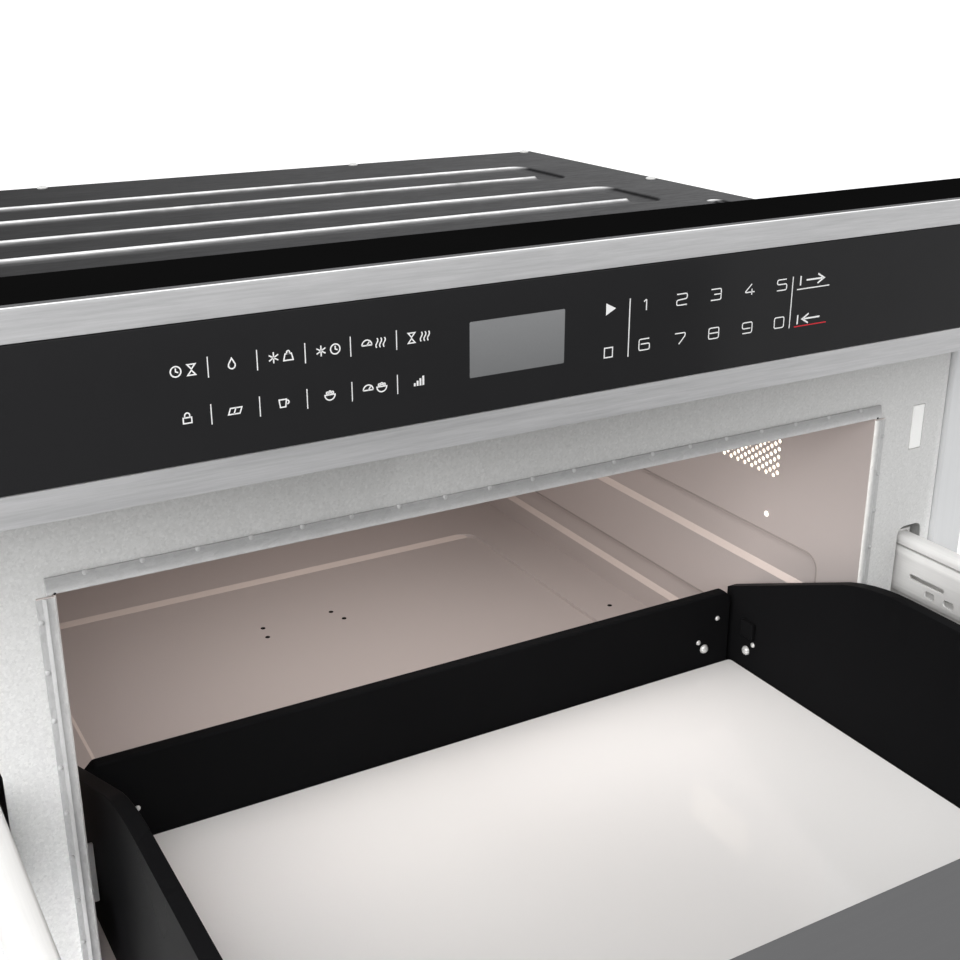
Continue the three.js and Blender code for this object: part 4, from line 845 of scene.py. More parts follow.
def perforation_geometry(graph: Graph, given: Sockets) -> Socket:
    """A sheet in the plane of Y and Z with staggered round holes, drawn flat and then stood up."""
    def split(vector: Socket) -> Sockets:
        """The three values of a vector."""
        return graph.add("ShaderNodeSeparateXYZ", {"Vector": vector}).outputs

    def together(**values: Socket) -> Socket:
        """A vector of values."""
        return graph.add("ShaderNodeCombineXYZ", values).outputs["Vector"]

    def joined(*pieces: Socket) -> Socket:
        """Several geometries as one."""
        join = graph.add("GeometryNodeJoinGeometry")
        for piece in pieces:
            graph.feed(join.inputs[0], piece)
        return join.outputs["Geometry"]

    first, low, high = (split(given[name]) for name in ("First Hole", "Low", "High"))
    grid = graph.add("GeometryNodeMeshGrid", {
        "Vertices X": given["Columns"], "Vertices Y": given["Rows"]})
    index = graph.add("GeometryNodeInputIndex").outputs["Index"]
    column = graph.math("FLOOR", graph.math("DIVIDE", graph.math("ADD", index, 0.5), given["Rows"]))
    row = graph.math("SUBTRACT", index, graph.math("MULTIPLY", column, given["Rows"]))
    stagger = graph.math("DIVIDE", graph.math("MODULO", column, 2.0), 2.0)
    across = graph.math("MULTIPLY", column, given["Column Step"])
    upward = graph.math("MULTIPLY", graph.math("SUBTRACT", row, stagger), given["Pitch"])
    place = together(
        X=graph.math("ADD", first["Y"], across), Y=graph.math("ADD", first["Z"], upward))
    spots = graph.add("GeometryNodeSetPosition", {
        "Geometry": grid.outputs["Mesh"], "Position": place})
    hole = graph.add("GeometryNodeCurvePrimitiveCircle", {
        "Resolution": HOLE_SIDES, "Radius": given["Hole Radius"]})
    holes = graph.add("GeometryNodeInstanceOnPoints", {
        "Points": spots.outputs["Geometry"], "Instance": hole.outputs["Curve"]})
    loose = graph.add("GeometryNodeRealizeInstances", {"Geometry": holes.outputs["Instances"]})
    edge = graph.add("GeometryNodeCurvePrimitiveQuadrilateral", {
        f"Point {number}": together(X=a["Y"], Y=b["Z"])
        for number, (a, b) in enumerate(((low, low), (high, low), (high, high), (low, high)), 1)},
        mode="POINTS")
    outline = joined(edge.outputs["Curve"], loose.outputs["Geometry"])
    sheet = graph.add("GeometryNodeFillCurve", {"Curve": outline}, mode="TRIANGLES").outputs["Mesh"]
    thick = graph.add("GeometryNodeExtrudeMesh", {
        "Individual": False, "Mesh": sheet, "Offset Scale": given["Thickness"]}, mode="FACES")
    back = graph.add("GeometryNodeFlipFaces", {"Mesh": sheet})
    closed = graph.add("GeometryNodeMergeByDistance", {
        "Geometry": joined(thick.outputs["Mesh"], back.outputs["Mesh"]), "Distance": SHEET_MERGE})
    flat = split(graph.add("GeometryNodeInputPosition").outputs["Position"])
    deep = graph.math("ADD", low["X"], graph.math("ABSOLUTE", flat["Z"]))
    return graph.add("GeometryNodeSetPosition", {
        "Geometry": closed.outputs["Geometry"],
        "Position": together(X=deep, Y=flat["X"], Z=flat["Y"])}).outputs["Geometry"]


def grow(kind: Repeater, name: str, inputs: dict[str, object],
         carrier_mesh: Mesh | None = None) -> Mesh:
    """Runs a Geometry Nodes tree and keeps its result as a plain mesh.

    Args:
        kind: Which tree.
        name: The mesh's name.
        inputs: Values of the tree's named inputs.
        carrier_mesh: The mesh the tree starts from, where it needs one.

    Returns:
        The mesh, with the tree's modifier gone.
    """
    tree = repeater(kind)
    carrier = stand(f"{name}_carrier", carrier_mesh or bpy.data.meshes.new(name))
    modifier = carrier.modifiers.new("grow", "NODES")
    modifier.node_group = tree
    for item in tree.interface.items_tree:
        if item.in_out == "INPUT" and item.name in inputs:
            modifier[item.identifier] = inputs[item.name]
    bpy.context.view_layer.update()
    evaluated = carrier.evaluated_get(bpy.context.evaluated_depsgraph_get())
    made = bpy.data.meshes.new_from_object(evaluated)
    made.name = name
    bpy.data.objects.remove(carrier)
    return made


def shape(solid: Solid, name: str) -> Piece:
    """A small shape at the origin, for the trees to repeat, that isn't in the scene itself."""
    mesh = solid.data(name)
    mesh.transform(Matrix.Translation(-at(0, 0, 0)))
    smooth(mesh)
    return bpy.data.objects.new(name, mesh)


def row(name: str, solid: Solid, start: Place, step: Place, count: int, finish: Finish, body: str,
        radius: float = 0.0) -> Piece:
    """A row of equal shapes as one piece.

    Args:
        name: The piece's name.
        solid: The shape, about the point that is set on the row.
        start: The first place.
        step: From each place to the next.
        count: How many.
        finish: Their finish.
        body: The body they move with.
        radius: Rounding of their edges.

    Returns:
        The piece.
    """
    source = shape(solid, f"{name}_shape")
    mesh = grow(Repeater.ROW, name, {
        "Shape": source, "Start": tuple(at(*start)), "Step": tuple(Vector(step) * MM),
        "Count": count, "Finish": finish.material()})
    bpy.data.objects.remove(source)
    return dress(mesh, name, finish, body, radius)


def scatter(name: str, solid: Solid, places: Sequence[tuple[Place, Place]], finish: Finish,
            body: str) -> Piece:
    """Equal shapes at given places as one piece.

    Args:
        name: The piece's name.
        solid: The shape, its height along Z.
        places: Each place and the direction it faces.
        finish: Their finish.
        body: The body they move with.

    Returns:
        The piece.
    """
    source = shape(solid, f"{name}_shape")
    carrier = bpy.data.meshes.new(f"{name}_points")
    carrier.from_pydata([at(*place) for place, _ in places], [], [])
    facing = carrier.attributes.new("facing", "FLOAT_VECTOR", "POINT")
    facing.data.foreach_set("vector", [value for _, way in places for value in way])
    mesh = grow(Repeater.SCATTER, name, {
        "Shape": source, "Finish": finish.material(), "Seed": SPIN_SEED}, carrier)
    bpy.data.objects.remove(source)
    return dress(mesh, name, finish, body, 0.0)


SUNK = -0.2  # the foot of a small shape, inside what it stands on, in millimetres


def dome(radius: float, height: float, steps: int = 4) -> Solid:
    """A low dome that stands on its place."""
    turns = [math.pi / 2 * i / steps for i in range(steps + 1)]
    profile = [(max(radius * math.sin(t), 0.02), height * math.cos(t)) for t in turns]
    return Solid().turned([*profile, (radius, SUNK)])


def dimple(middle: float, shoulder: float, foot: float) -> Solid:
    """A low weld dimple that faces the front, from its three radii."""
    return Solid().turned(
        [(0.2, 0.62), (middle, 0.5), (shoulder, 0.22), (foot, 0.0), (foot, -0.3)], (0, -1, 0))


def screw_head(radius: float, height: float) -> Solid:
    """A low screw head, narrower at its top, with a cross pressed into it."""
    slot, reach, deep = radius * 0.13, radius * 0.55, height * 0.45
    half = [(reach, slot), (slot, slot), (slot, reach)]
    half += [(-a, b) for a, b in reversed(half)]
    cross = half + [(-a, -b) for a, b in half]
    sides, notches = 24, len(cross)
    flat, rim = (arc((0, 0), radius * share, 0, 345, sides - 1) for share in (0.72, 1.0))
    top = [[Vector((a, b, height)) for a, b in loop] for loop in (flat, cross)]
    points = [point for loop in top for point in loop]
    for loop, level in ((cross, height - deep), (rim, height * 0.55), (rim, SUNK)):
        points += [Vector((a, b, level)) for a, b in loop]
    bottom = sides + notches
    upper_rim = bottom + notches
    foot = upper_rim + sides
    return Solid().faces(points, [
        *map(tuple, tessellate_polygon(top)),
        *strip(sides, bottom, notches), tuple(range(bottom, upper_rim)),
        *strip(0, upper_rim, sides),
        *strip(upper_rim, foot, sides), tuple(range(foot, foot + sides))])


# ---------------------------------------------------------------- pressed sheets

@dataclass(frozen=True)
class Groove:
    """A closed groove pressed into a sheet along a rounded rectangle."""

    a: Span
    b: Span
    radius: float
    width: float
    depth: float


@dataclass
class PressedSheet:
    """A flat sheet with soft grooves pressed into it."""

    a: Span
    b: Span
    level: float
    thickness: float
    grooves: Sequence[Groove]
    wall: float = 3.2
    shadow: float = 3.0
    corner_steps: int = 8
    falloff: float = 2.5
    # Painted shade: its share along the groove's upper edge, and how narrow it is on the walls at
    # the groove's ends.
    crease_edge: float = 0.6
    crease_narrowing: float = 2.4
    # Shares of the lip mask, a painted highlight, from the top of the groove wall down.
    shine: tuple[float, ...] = (0.0, 0.5, 1.0, 0.9, 0.4, 0.2, 0.12, 0.08, 0.05)

    def inset(self, groove: Groove, distance: float) -> list[Point]:
        """The groove's outline, moved inwards."""
        return rounded(
            (groove.a[0] + distance, groove.a[1] - distance),
            (groove.b[0] + distance, groove.b[1] - distance),
            max(groove.radius - distance, groove.radius * 0.25, 0.3), self.corner_steps)

    def build(self, name: str) -> Mesh:
        """Builds the sheet.

        Args:
            name: The mesh's name.

        Returns:
            A closed mesh with the masks lip, a painted highlight, and crease, painted shade, on the
            walls, and sheen, a painted reflection, along both axes.
        """
        work = bmesh.new()
        layers = work.verts.layers.float
        lip, crease, sheen = (layers.new(mask) for mask in ("lip", "crease", "sheen"))
        (a0, a1), (b0, b1) = self.a, self.b
        outer = [(a0, b0), (a1, b0), (a1, b1), (a0, b1)]
        steps = len(self.shine) - 1

        def add(loop: Sequence[Point], depth: float, lit: float = 0.0, rim: float = 0.0,
                end: float = 0.0, falling: bool = True) -> list[bmesh.types.BMVert]:
            """One loop of points at a depth, with the shares of its three masks."""
            made = []
            for index, (a, b) in enumerate(loop):
                vertex = work.verts.new((a, b, self.level - depth))
                corner, step = divmod(index, self.corner_steps + 1)
                turn = math.radians(90 * corner + 90 * step / self.corner_steps)
                across = abs(math.sin(turn)) ** self.falloff
                along = abs(math.cos(turn)) ** self.falloff
                far = across if (math.sin(turn) > 0) == falling else 0.0
                vertex[lip] = lit * far
                vertex[crease] = max(rim * far, end * along)
                vertex[sheen] = self.sheen(a, b)
                made.append(vertex)
            return made

        field_loops = [add(outer, 0.0)]
        flats = []
        for groove in self.grooves:
            inside = min(groove.a[1] - groove.a[0], groove.b[1] - groove.b[0]) / 2 - groove.width
            previous = add(self.inset(groove, -self.shadow), 0.0)
            field_loops.append(previous)
            down = [(self.wall * i / steps, i / steps) for i in range(steps + 1)]
            rounds = [(reach, share, True) for reach, share in down]
            rounds += [(groove.width - reach, share, False) for reach, share in down[::-1]]
            if inside > self.shadow * 2:
                rounds.append((groove.width + self.shadow, -1.0, False))
            for reach, share, falling in rounds:
                press, lit, rim, end = 0.0, 0.0, 0.0, 0.0
                if share >= 0:
                    press, lit = share * share * (3 - 2 * share), self.shine[round(share * steps)]
                    rim = float(share == 0) * self.crease_edge
                    end = math.sin(math.pi * share) ** self.crease_narrowing
                outline = self.inset(groove, reach)
                current = add(outline, groove.depth * press, lit, rim, end, falling)
                for j in range(len(current)):
                    k = (j + 1) % len(current)
                    work.faces.new((previous[j], previous[k], current[k], current[j]))
                previous = current
            flats.append([previous])
        flats.append(field_loops)
        for loops in flats:
            flat = [[Vector((*v.co.xy, 0)) for v in loop] for loop in loops]
            members = [v for loop in loops for v in loop]
            for face in tessellate_polygon(flat):
                work.faces.new([members[i] for i in face])
        return self.close(work, name)

    def sheen(self, a: float, b: float) -> float:
        """How much painted reflection the sheet has at a place, more to the right and a little to
        the front.
        """
        (a0, a1), (b0, b1) = self.a, self.b
        return 0.8 * (a - a0) / (a1 - a0) + 0.2 * (b1 - b) / (b1 - b0)

    def close(self, work: bmesh.types.BMesh, name: str) -> Mesh:
        """Gives the surface its thickness and moves it into the frame's metres."""
        bmesh.ops.recalc_face_normals(work, faces=work.faces)
        if sum(face.normal.z * face.calc_area() for face in work.faces) < 0:
            bmesh.ops.reverse_faces(work, faces=work.faces)
        copied = bmesh.ops.duplicate(work, geom=[*work.verts, *work.edges, *work.faces])["geom"]
        under = [item for item in copied if isinstance(item, bmesh.types.BMVert)]
        bmesh.ops.translate(work, verts=under, vec=(0, 0, -self.thickness))
        faces = [item for item in copied if isinstance(item, bmesh.types.BMFace)]
        bmesh.ops.reverse_faces(work, faces=faces)
        rims = [edge for edge in work.edges if len(edge.link_faces) == 1]
        bmesh.ops.bridge_loops(work, edges=rims)
        return framed(work, name)


# ---------------------------------------------------------------- printed signs

BAR_WEIGHT = 0.8  # the width of the bars sign's strokes


def round_corners(points: Sequence[Point], radius: float) -> list[Point]:
    """An open line with its inner corners rounded."""
    line = [Vector(p) for p in points]
    made = [line[0]]
    for before, corner, after in zip(line, line[1:], line[2:]):
        cut = min(radius, (corner - before).length * 0.45, (after - corner).length * 0.45)
        start = corner + (before - corner).normalized() * cut
        end = corner + (after - corner).normalized() * cut
        for i in range(4):
            t = i / 3
            made.append(start * (1 - t) ** 2 + corner * 2 * t * (1 - t) + end * t * t)
    made.append(line[-1])
    return [tuple(p) for p in made]


DIGITS: dict[str, list[list[Point]]] = {
    "0": [[(0.5, 1), (1, 1), (1, 0), (0, 0), (0, 1), (0.5, 1)]],
    "1": [[(0.3, 0.78), (0.55, 1), (0.55, 0)]],
    "2": [[(0, 1), (1, 1), (1, 0.54), (0, 0.46), (0, 0), (1, 0)]],
    "3": [[(0, 1), (1, 1), (1, 0), (0, 0)], [(0.3, 0.52), (1, 0.52)]],
    "4": [[(1, 0.26), (0, 0.26), (0.68, 1)], [(0.72, 0.55), (0.72, 0)]],
    "5": [[(0.95, 1), (0, 1), (0, 0.56), (1, 0.56), (1, 0), (0, 0)]],
    "6": [[(0.95, 1), (0, 1), (0, 0), (1, 0), (1, 0.56), (0.16, 0.56)]],
    "7": [[(0, 1), (1, 1), (1, 0.72), (0.42, 0)]],
    "8": [[(0.5, 1), (1, 1), (1, 0), (0, 0), (0, 1), (0.5, 1)], [(0, 0.52), (1, 0.52)]],
    "9": [[(0.05, 0), (1, 0), (1, 1), (0, 1), (0, 0.44), (0.84, 0.44)]],
}


@dataclass
class Stencil:
    """Flat signs printed on the control glass, drawn as strokes and filled shapes."""

    face: float
    thickness: float = 0.05
    weight: float = 0.5
    solid: Solid = field(default_factory=Solid)

    def fill(self, points: Sequence[Point]) -> None:
        """Prints a filled outline."""
        self.solid.prism(points, Axis.Y, (self.face - self.thickness, self.face))

    def line(self, points: Sequence[Point], weight: float | None = None) -> None:
        """Prints a line, mitred at its corners.

        Args:
            points: The line's points.
            weight: Its width, or none for the stencil's own.
        """
        left, right = band(points, weight or self.weight)
        if len(left) < len(points):
            self.solid.prism(left, Axis.Y, (self.face - self.thickness, self.face), [right])
        else:
            self.fill(left + right[::-1])

    def digit(self, sign: str, centre: Point, size: Point) -> None:
        """Prints a plain square digit about a centre."""
        for stroke in DIGITS[sign]:
            self.line(round_corners([
                (centre[0] + (a - 0.5) * size[0], centre[1] + (b - 0.5) * size[1])
                for a, b in stroke], 0.9))


def ring(x: float, z: float, radius: float, start: float = 0, end: float = 360) -> list[Point]:
    """A circle or an arc of a sign."""
    return arc((x, z), radius, start, end, max(6, int((end - start) / 20)))


class Sign(Enum):
    """Plain pictures of cooking functions, as strokes about (0, 0) that reach about 1 from it."""

    CLOCK = [ring(0, 0, 0.92), [(0, 0.6), (0, 0), (0.45, -0.2)]]
    DROP = [[(0, 1), *arc((0, -0.25), 0.62, -215, 35, 12), (0, 1)]]
    FLAKE = [
        [(-math.cos(turn), -math.sin(turn)), (math.cos(turn), math.sin(turn))]
        for turn in (math.radians(angle) for angle in (30, 90, 150))]
    WEIGHT = [
        [(-0.9, -0.8), (-0.6, 0.4), (0.6, 0.4), (0.9, -0.8), (-0.9, -0.8)], ring(0, 0.65, 0.28)]
    WAVES = [
        [(shift + 0.22 * math.sin(b * 3.2), b) for b in (-0.9, -0.6, -0.3, 0, 0.3, 0.6, 0.9)]
        for shift in (-0.75, 0.0, 0.75)]
    HOURGLASS = [
        [(-0.7, 0.95 * way), (0.7, 0.95 * way), (0, 0.1 * way), (-0.7, 0.95 * way)]
        for way in (1, -1)]
    PADLOCK = [
        [(-0.75, -0.9), (0.75, -0.9), (0.75, 0.1), (-0.75, 0.1), (-0.75, -0.9)],
        [(-0.45, 0.1), (-0.45, 0.5), *arc((0, 0.5), 0.45, 180, 0, 6), (0.45, 0.1)]]
    SLAB = [
        [(-1.2, -0.6), (0.9, -0.6), (1.3, 0.5), (-0.8, 0.5), (-1.2, -0.6)],
        [(-0.2, -0.6), (0.2, 0.5)]]
    CUP = [
        [(-0.8, 0.6), (-0.6, -0.8), (0.4, -0.8), (0.6, 0.6), (-0.8, 0.6)],
        ring(0.72, 0.05, 0.34, -90, 90)]
    BOWL = [
        [*arc((0, 0.1), 1, 180, 360, 12), (-1, 0.1)],
        *(ring(a, 0.62 - abs(a) * 0.3, 0.2) for a in (-0.5, 0.0, 0.5))]
    GAUGE = [ring(0, -0.2, 1, 0, 180), [(0, -0.2), (0.5, 0.45)], [(-1, -0.2), (1, -0.2)]]
    BARS = [[(a, -0.9), (a, top)] for a, top in ((-0.9, -0.3), (-0.3, 0.1), (0.3, 0.5), (0.9, 0.9))]

    def draw(self, stencil: Stencil, x: float, z: float, half: float) -> None:
        """Prints the sign about (x, z), with half its height given."""
        weight = BAR_WEIGHT if self is Sign.BARS else None
        for stroke in self.value:
            stencil.line([(x + a * half, z + b * half) for a, b in stroke], weight)


# ---------------------------------------------------------------- studio

@dataclass(frozen=True)
class Lamp:
    """A soft square lamp, in the frame's metres, watts and degrees."""

    name: str
    place: Place
    aim: Place
    size: float
    power: float
    spread: float = 180.0
    mirrored: bool = False
    colour: Colour = (1.0, 1.0, 1.0)

    def build(self) -> None:
        """Adds the lamp to the scene."""
        data = bpy.data.lights.new(self.name, "AREA")
        data.size, data.energy, data.color = self.size, self.power, self.colour
        data.spread = math.radians(self.spread)
        lamp = stand(self.name, data)
        lamp.location = self.place
        way = Vector(self.aim) - Vector(self.place)
        lamp.rotation_euler = way.to_track_quat("-Z", "Y").to_euler()
        lamp.visible_glossy = self.mirrored


LAMPS = (
    Lamp("key_light", (-2.2, -2.1, 1.7), (0.0, -0.15, 0.2), 2.4, 74.0, mirrored=True),
    Lamp("fill_light", (2.4, -1.6, 1.6), (0.0, -0.15, 0.2), 2.2, 6.0, mirrored=True),
    Lamp("slide_light", (-0.33, -0.80, 0.56), (0.28, -0.27, 0.18), 0.12, 0.008, 24.0),
    Lamp("left_light", (-0.36, -0.80, 0.56), (-0.25, -0.25, 0.08), 0.12, 0.09, 34.0),
    Lamp("tray_light", (0.05, -0.76, 0.62), (0.25, -0.36, 0.1), 0.15, 0.08, 30.0),
    Lamp("wall_light", (-0.08, -0.17, 0.25), (0.222, -0.2, 0.17), 0.14, 0.06, 65.0),
    Lamp("oven_light", (0.02, -0.05, 0.277), (0.02, -0.05, 0.0), 0.32, 0.35, 140.0,
         colour=(1.0, 0.96, 0.93)))


@dataclass
class Studio:
    """The floor, the light and the camera."""

    camera_place: Place = (-0.3124, -0.7275, 0.512)
    camera_turn: Place = (68.98, 0.0, -29.65)
    lens: float = 50.0
    floor_half: float = 30.0
    floor_level: float = -0.0005
    floor_grey: float = 0.86
    floor_shine: float = 0.45
    soft_sky: float = 0.82

    def build(self) -> None:
        """Builds the studio."""
        self.camera()
        self.world()
        self.floor()
        for lamp in LAMPS:
            lamp.build()
        bpy.context.scene.view_settings.view_transform = "Standard"

    def camera(self) -> None:
        """Sets the camera at the photograph's angle."""
        data = bpy.data.cameras.new("photo_camera")
        data.lens, data.sensor_width, data.clip_start = self.lens, 36.0, 0.01
        camera = stand("photo_camera", data)
        camera.location = self.camera_place
        camera.rotation_euler = Euler([math.radians(a) for a in self.camera_turn])
        bpy.context.scene.camera = camera

    def seen_directly(self, graph: Graph) -> Socket:
        """One for a ray from the camera, a reflection or a transmission, and nought otherwise."""
        path = graph.add("ShaderNodeLightPath")
        first = graph.math("MAXIMUM", path.outputs["Is Camera Ray"], path.outputs["Is Glossy Ray"])
        return graph.math("MAXIMUM", first, path.outputs["Is Transmission Ray"])

    def world(self) -> None:
        """A white background, with a softer light from it on the object."""
        world = bpy.data.worlds.new("studio_world")
        bpy.context.scene.world = world
        world.use_nodes = True
        graph = Graph(world.node_tree)
        background = world.node_tree.nodes["Background"]
        background.inputs["Color"].default_value = (1, 1, 1, 1)
        strength = graph.remap(self.seen_directly(graph), (0, 1), (self.soft_sky, 1.0))
        graph.feed(background.inputs["Strength"], strength)

    def floor(self) -> None:
        """A plain pale floor, white to the camera where the object doesn't shade it."""
        half = self.floor_half
        mesh = bpy.data.meshes.new("floor")
        corners = [(-half, -half, 0), (half, -half, 0), (half, half, 0), (-half, half, 0)]
        mesh.from_pydata(corners, [], [(0, 1, 2, 3)])
        floor = stand("floor", mesh)
        floor.location.z = self.floor_level
        material = bpy.data.materials.new("pale_floor")
        material.use_nodes = True
        graph = Graph(material.node_tree)
        shine = graph.math("MULTIPLY", self.seen_directly(graph), self.floor_shine)
        for name, value in (
                ("Base Color", (*[self.floor_grey] * 3, 1)), ("Roughness", 0.9),
                ("Emission Color", (1, 1, 1, 1)), ("Emission Strength", shine)):
            graph.feed(material.node_tree.nodes["Principled BSDF"].inputs[name], value)
        mesh.materials.append(material)


# ---------------------------------------------------------------- cabinet

@dataclass
class Cabinet:
    """The galvanised shell with its cover, panels, front plate and flanges."""

    half_width: float = 278.0
    depth: float = 455.0
    height: float = 371.0
    rings: tuple[Span, ...] = ((199.0, 271.0), (313.0, 384.0))
    ring_half: float = 228.0
    groove_width: float = 20.0
    groove_depth: float = 2.4
    ring_radius: float = 14.0
    short_gaps: Span = (33.0, 19.0)
    short_span: Span = (40.0, 188.0)
    short_width: float = 6.9
    short_depth: float = 1.2
    screw: tuple[float, float] = (3.6, 1.5)
    # Painted light on the front plate: paler from this level down, over this height, and more
    # towards the left.
    pale_level: float = 250.0
    pale_height: float = 200.0
    pale_lean: float = 1400.0
    louvres: int = 8
    louvre_step: float = 9.0

    def build(self) -> None:
        """Builds the cabinet's shell and its fasteners."""
        self.cover()
        self.panels()
        self.front()
        self.fasteners()
        self.vents()

    def cover(self) -> None:
        """The top cover with its two pressed rings, and a short groove beside each end of them."""
        grooves = [
            Groove((-self.ring_half, self.ring_half), ends, self.ring_radius, self.groove_width,
                   self.groove_depth)
            for ends in self.rings]
        near, far = (self.half_width - gap for gap in self.short_gaps)
        grooves += [
            Groove(side.across(near, far), self.short_span, self.short_width, self.short_width,
                   self.short_depth)
            for side in Side]
        sheet = PressedSheet(
            (-self.half_width, self.half_width), (1.3, self.depth), self.height, 0.8, grooves)
        mesh = sheet.build("top_cover_look")
        dress(mesh, "top_cover_look", COVER_STEEL, "cabinet", 0.0, ["top_cover"])

    def panels(self) -> None:
        """Sides, rear, base and gland."""
        for side in Side:
            refine(f"side_panel_{side.word}", GALVANISED, 0.35)
        refine("rear_panel", GALVANISED, 0.2)
        refine("base_pan", GALVANISED, 0.3, True)
        refine("cord_gland", BLACK_CAP, 0.6)

    def front(self) -> None:
        """The front plate, with painted light that makes it paler towards its lower left, and the
        flanges beside it.
        """
        plate = refine("front_plate", GALVANISED, 0.25, True)
        # Painted light: the plate is paler towards the bottom and the left.
        fade(plate.data, "pale", lambda place: (
            (self.pale_level - place.z) / self.pale_height - place.x / self.pale_lean))
        for side in Side:
            refine(f"side_flange_{side.word}", PALE_FLANGE, self.flange_radius)

    @staticmethod
    def flange_radius(middle: Vector, way: Vector) -> float:
        """A wide bend where the flange's face turns back along the cabinet."""
        bend = abs(way.z) > 100 and abs(middle.x) < 279 and middle.y < 0
        return 2.2 if bend and middle.y < -2.2 else (1.2 if bend else 0.25)

    def fasteners(self) -> None:
        """The screws of the cover, the rear and the sides."""
        up, back = (0.0, 0.0, 1.0), (0.0, 1.0, 0.0)
        cover, rear = self.height - 0.2, self.depth - 0.1
        top = [((x, self.depth - 4.5, cover), up) for x in (-270.0, -116.0, 117.0, 270.0)]
        top += [((x, y, cover), up) for x in (-272.0, 272.0) for y in (280.0, 110.0)]
        behind = [((x, rear, z), back) for x in (-262.0, -90.0, 90.0, 262.0) for z in (10.0, 358.0)]
        behind += [((x, rear, z), back) for x in (-268.0, 268.0) for z in (120.0, 240.0)]
        sides = [
            ((side.value * (self.half_width - 0.1), y, z), (float(side.value), 0.0, 0.0))
            for side in Side for y in (60.0, 230.0, 425.0) for z in (12.0, 355.0)]
        for name, places in (("cover_screws", top), ("panel_screws", behind + sides)):
            scatter(name, screw_head(*self.screw), places, SCREW, "cabinet")

    def vents(self) -> None:
        """Pressed louvres on the sides."""
        for side in Side:
            louvre = Solid().block(side.across(-0.3, 1.6), (-18.0, 18.0), (-1.9, 1.9))
            row(f"side_louvres_{side.word}", louvre, (side.value * self.half_width, 395.0, 300.0),
                (0.0, 0.0, -self.louvre_step), self.louvres, GALVANISED, "cabinet", 0.7)


# ---------------------------------------------------------------- oven cavity

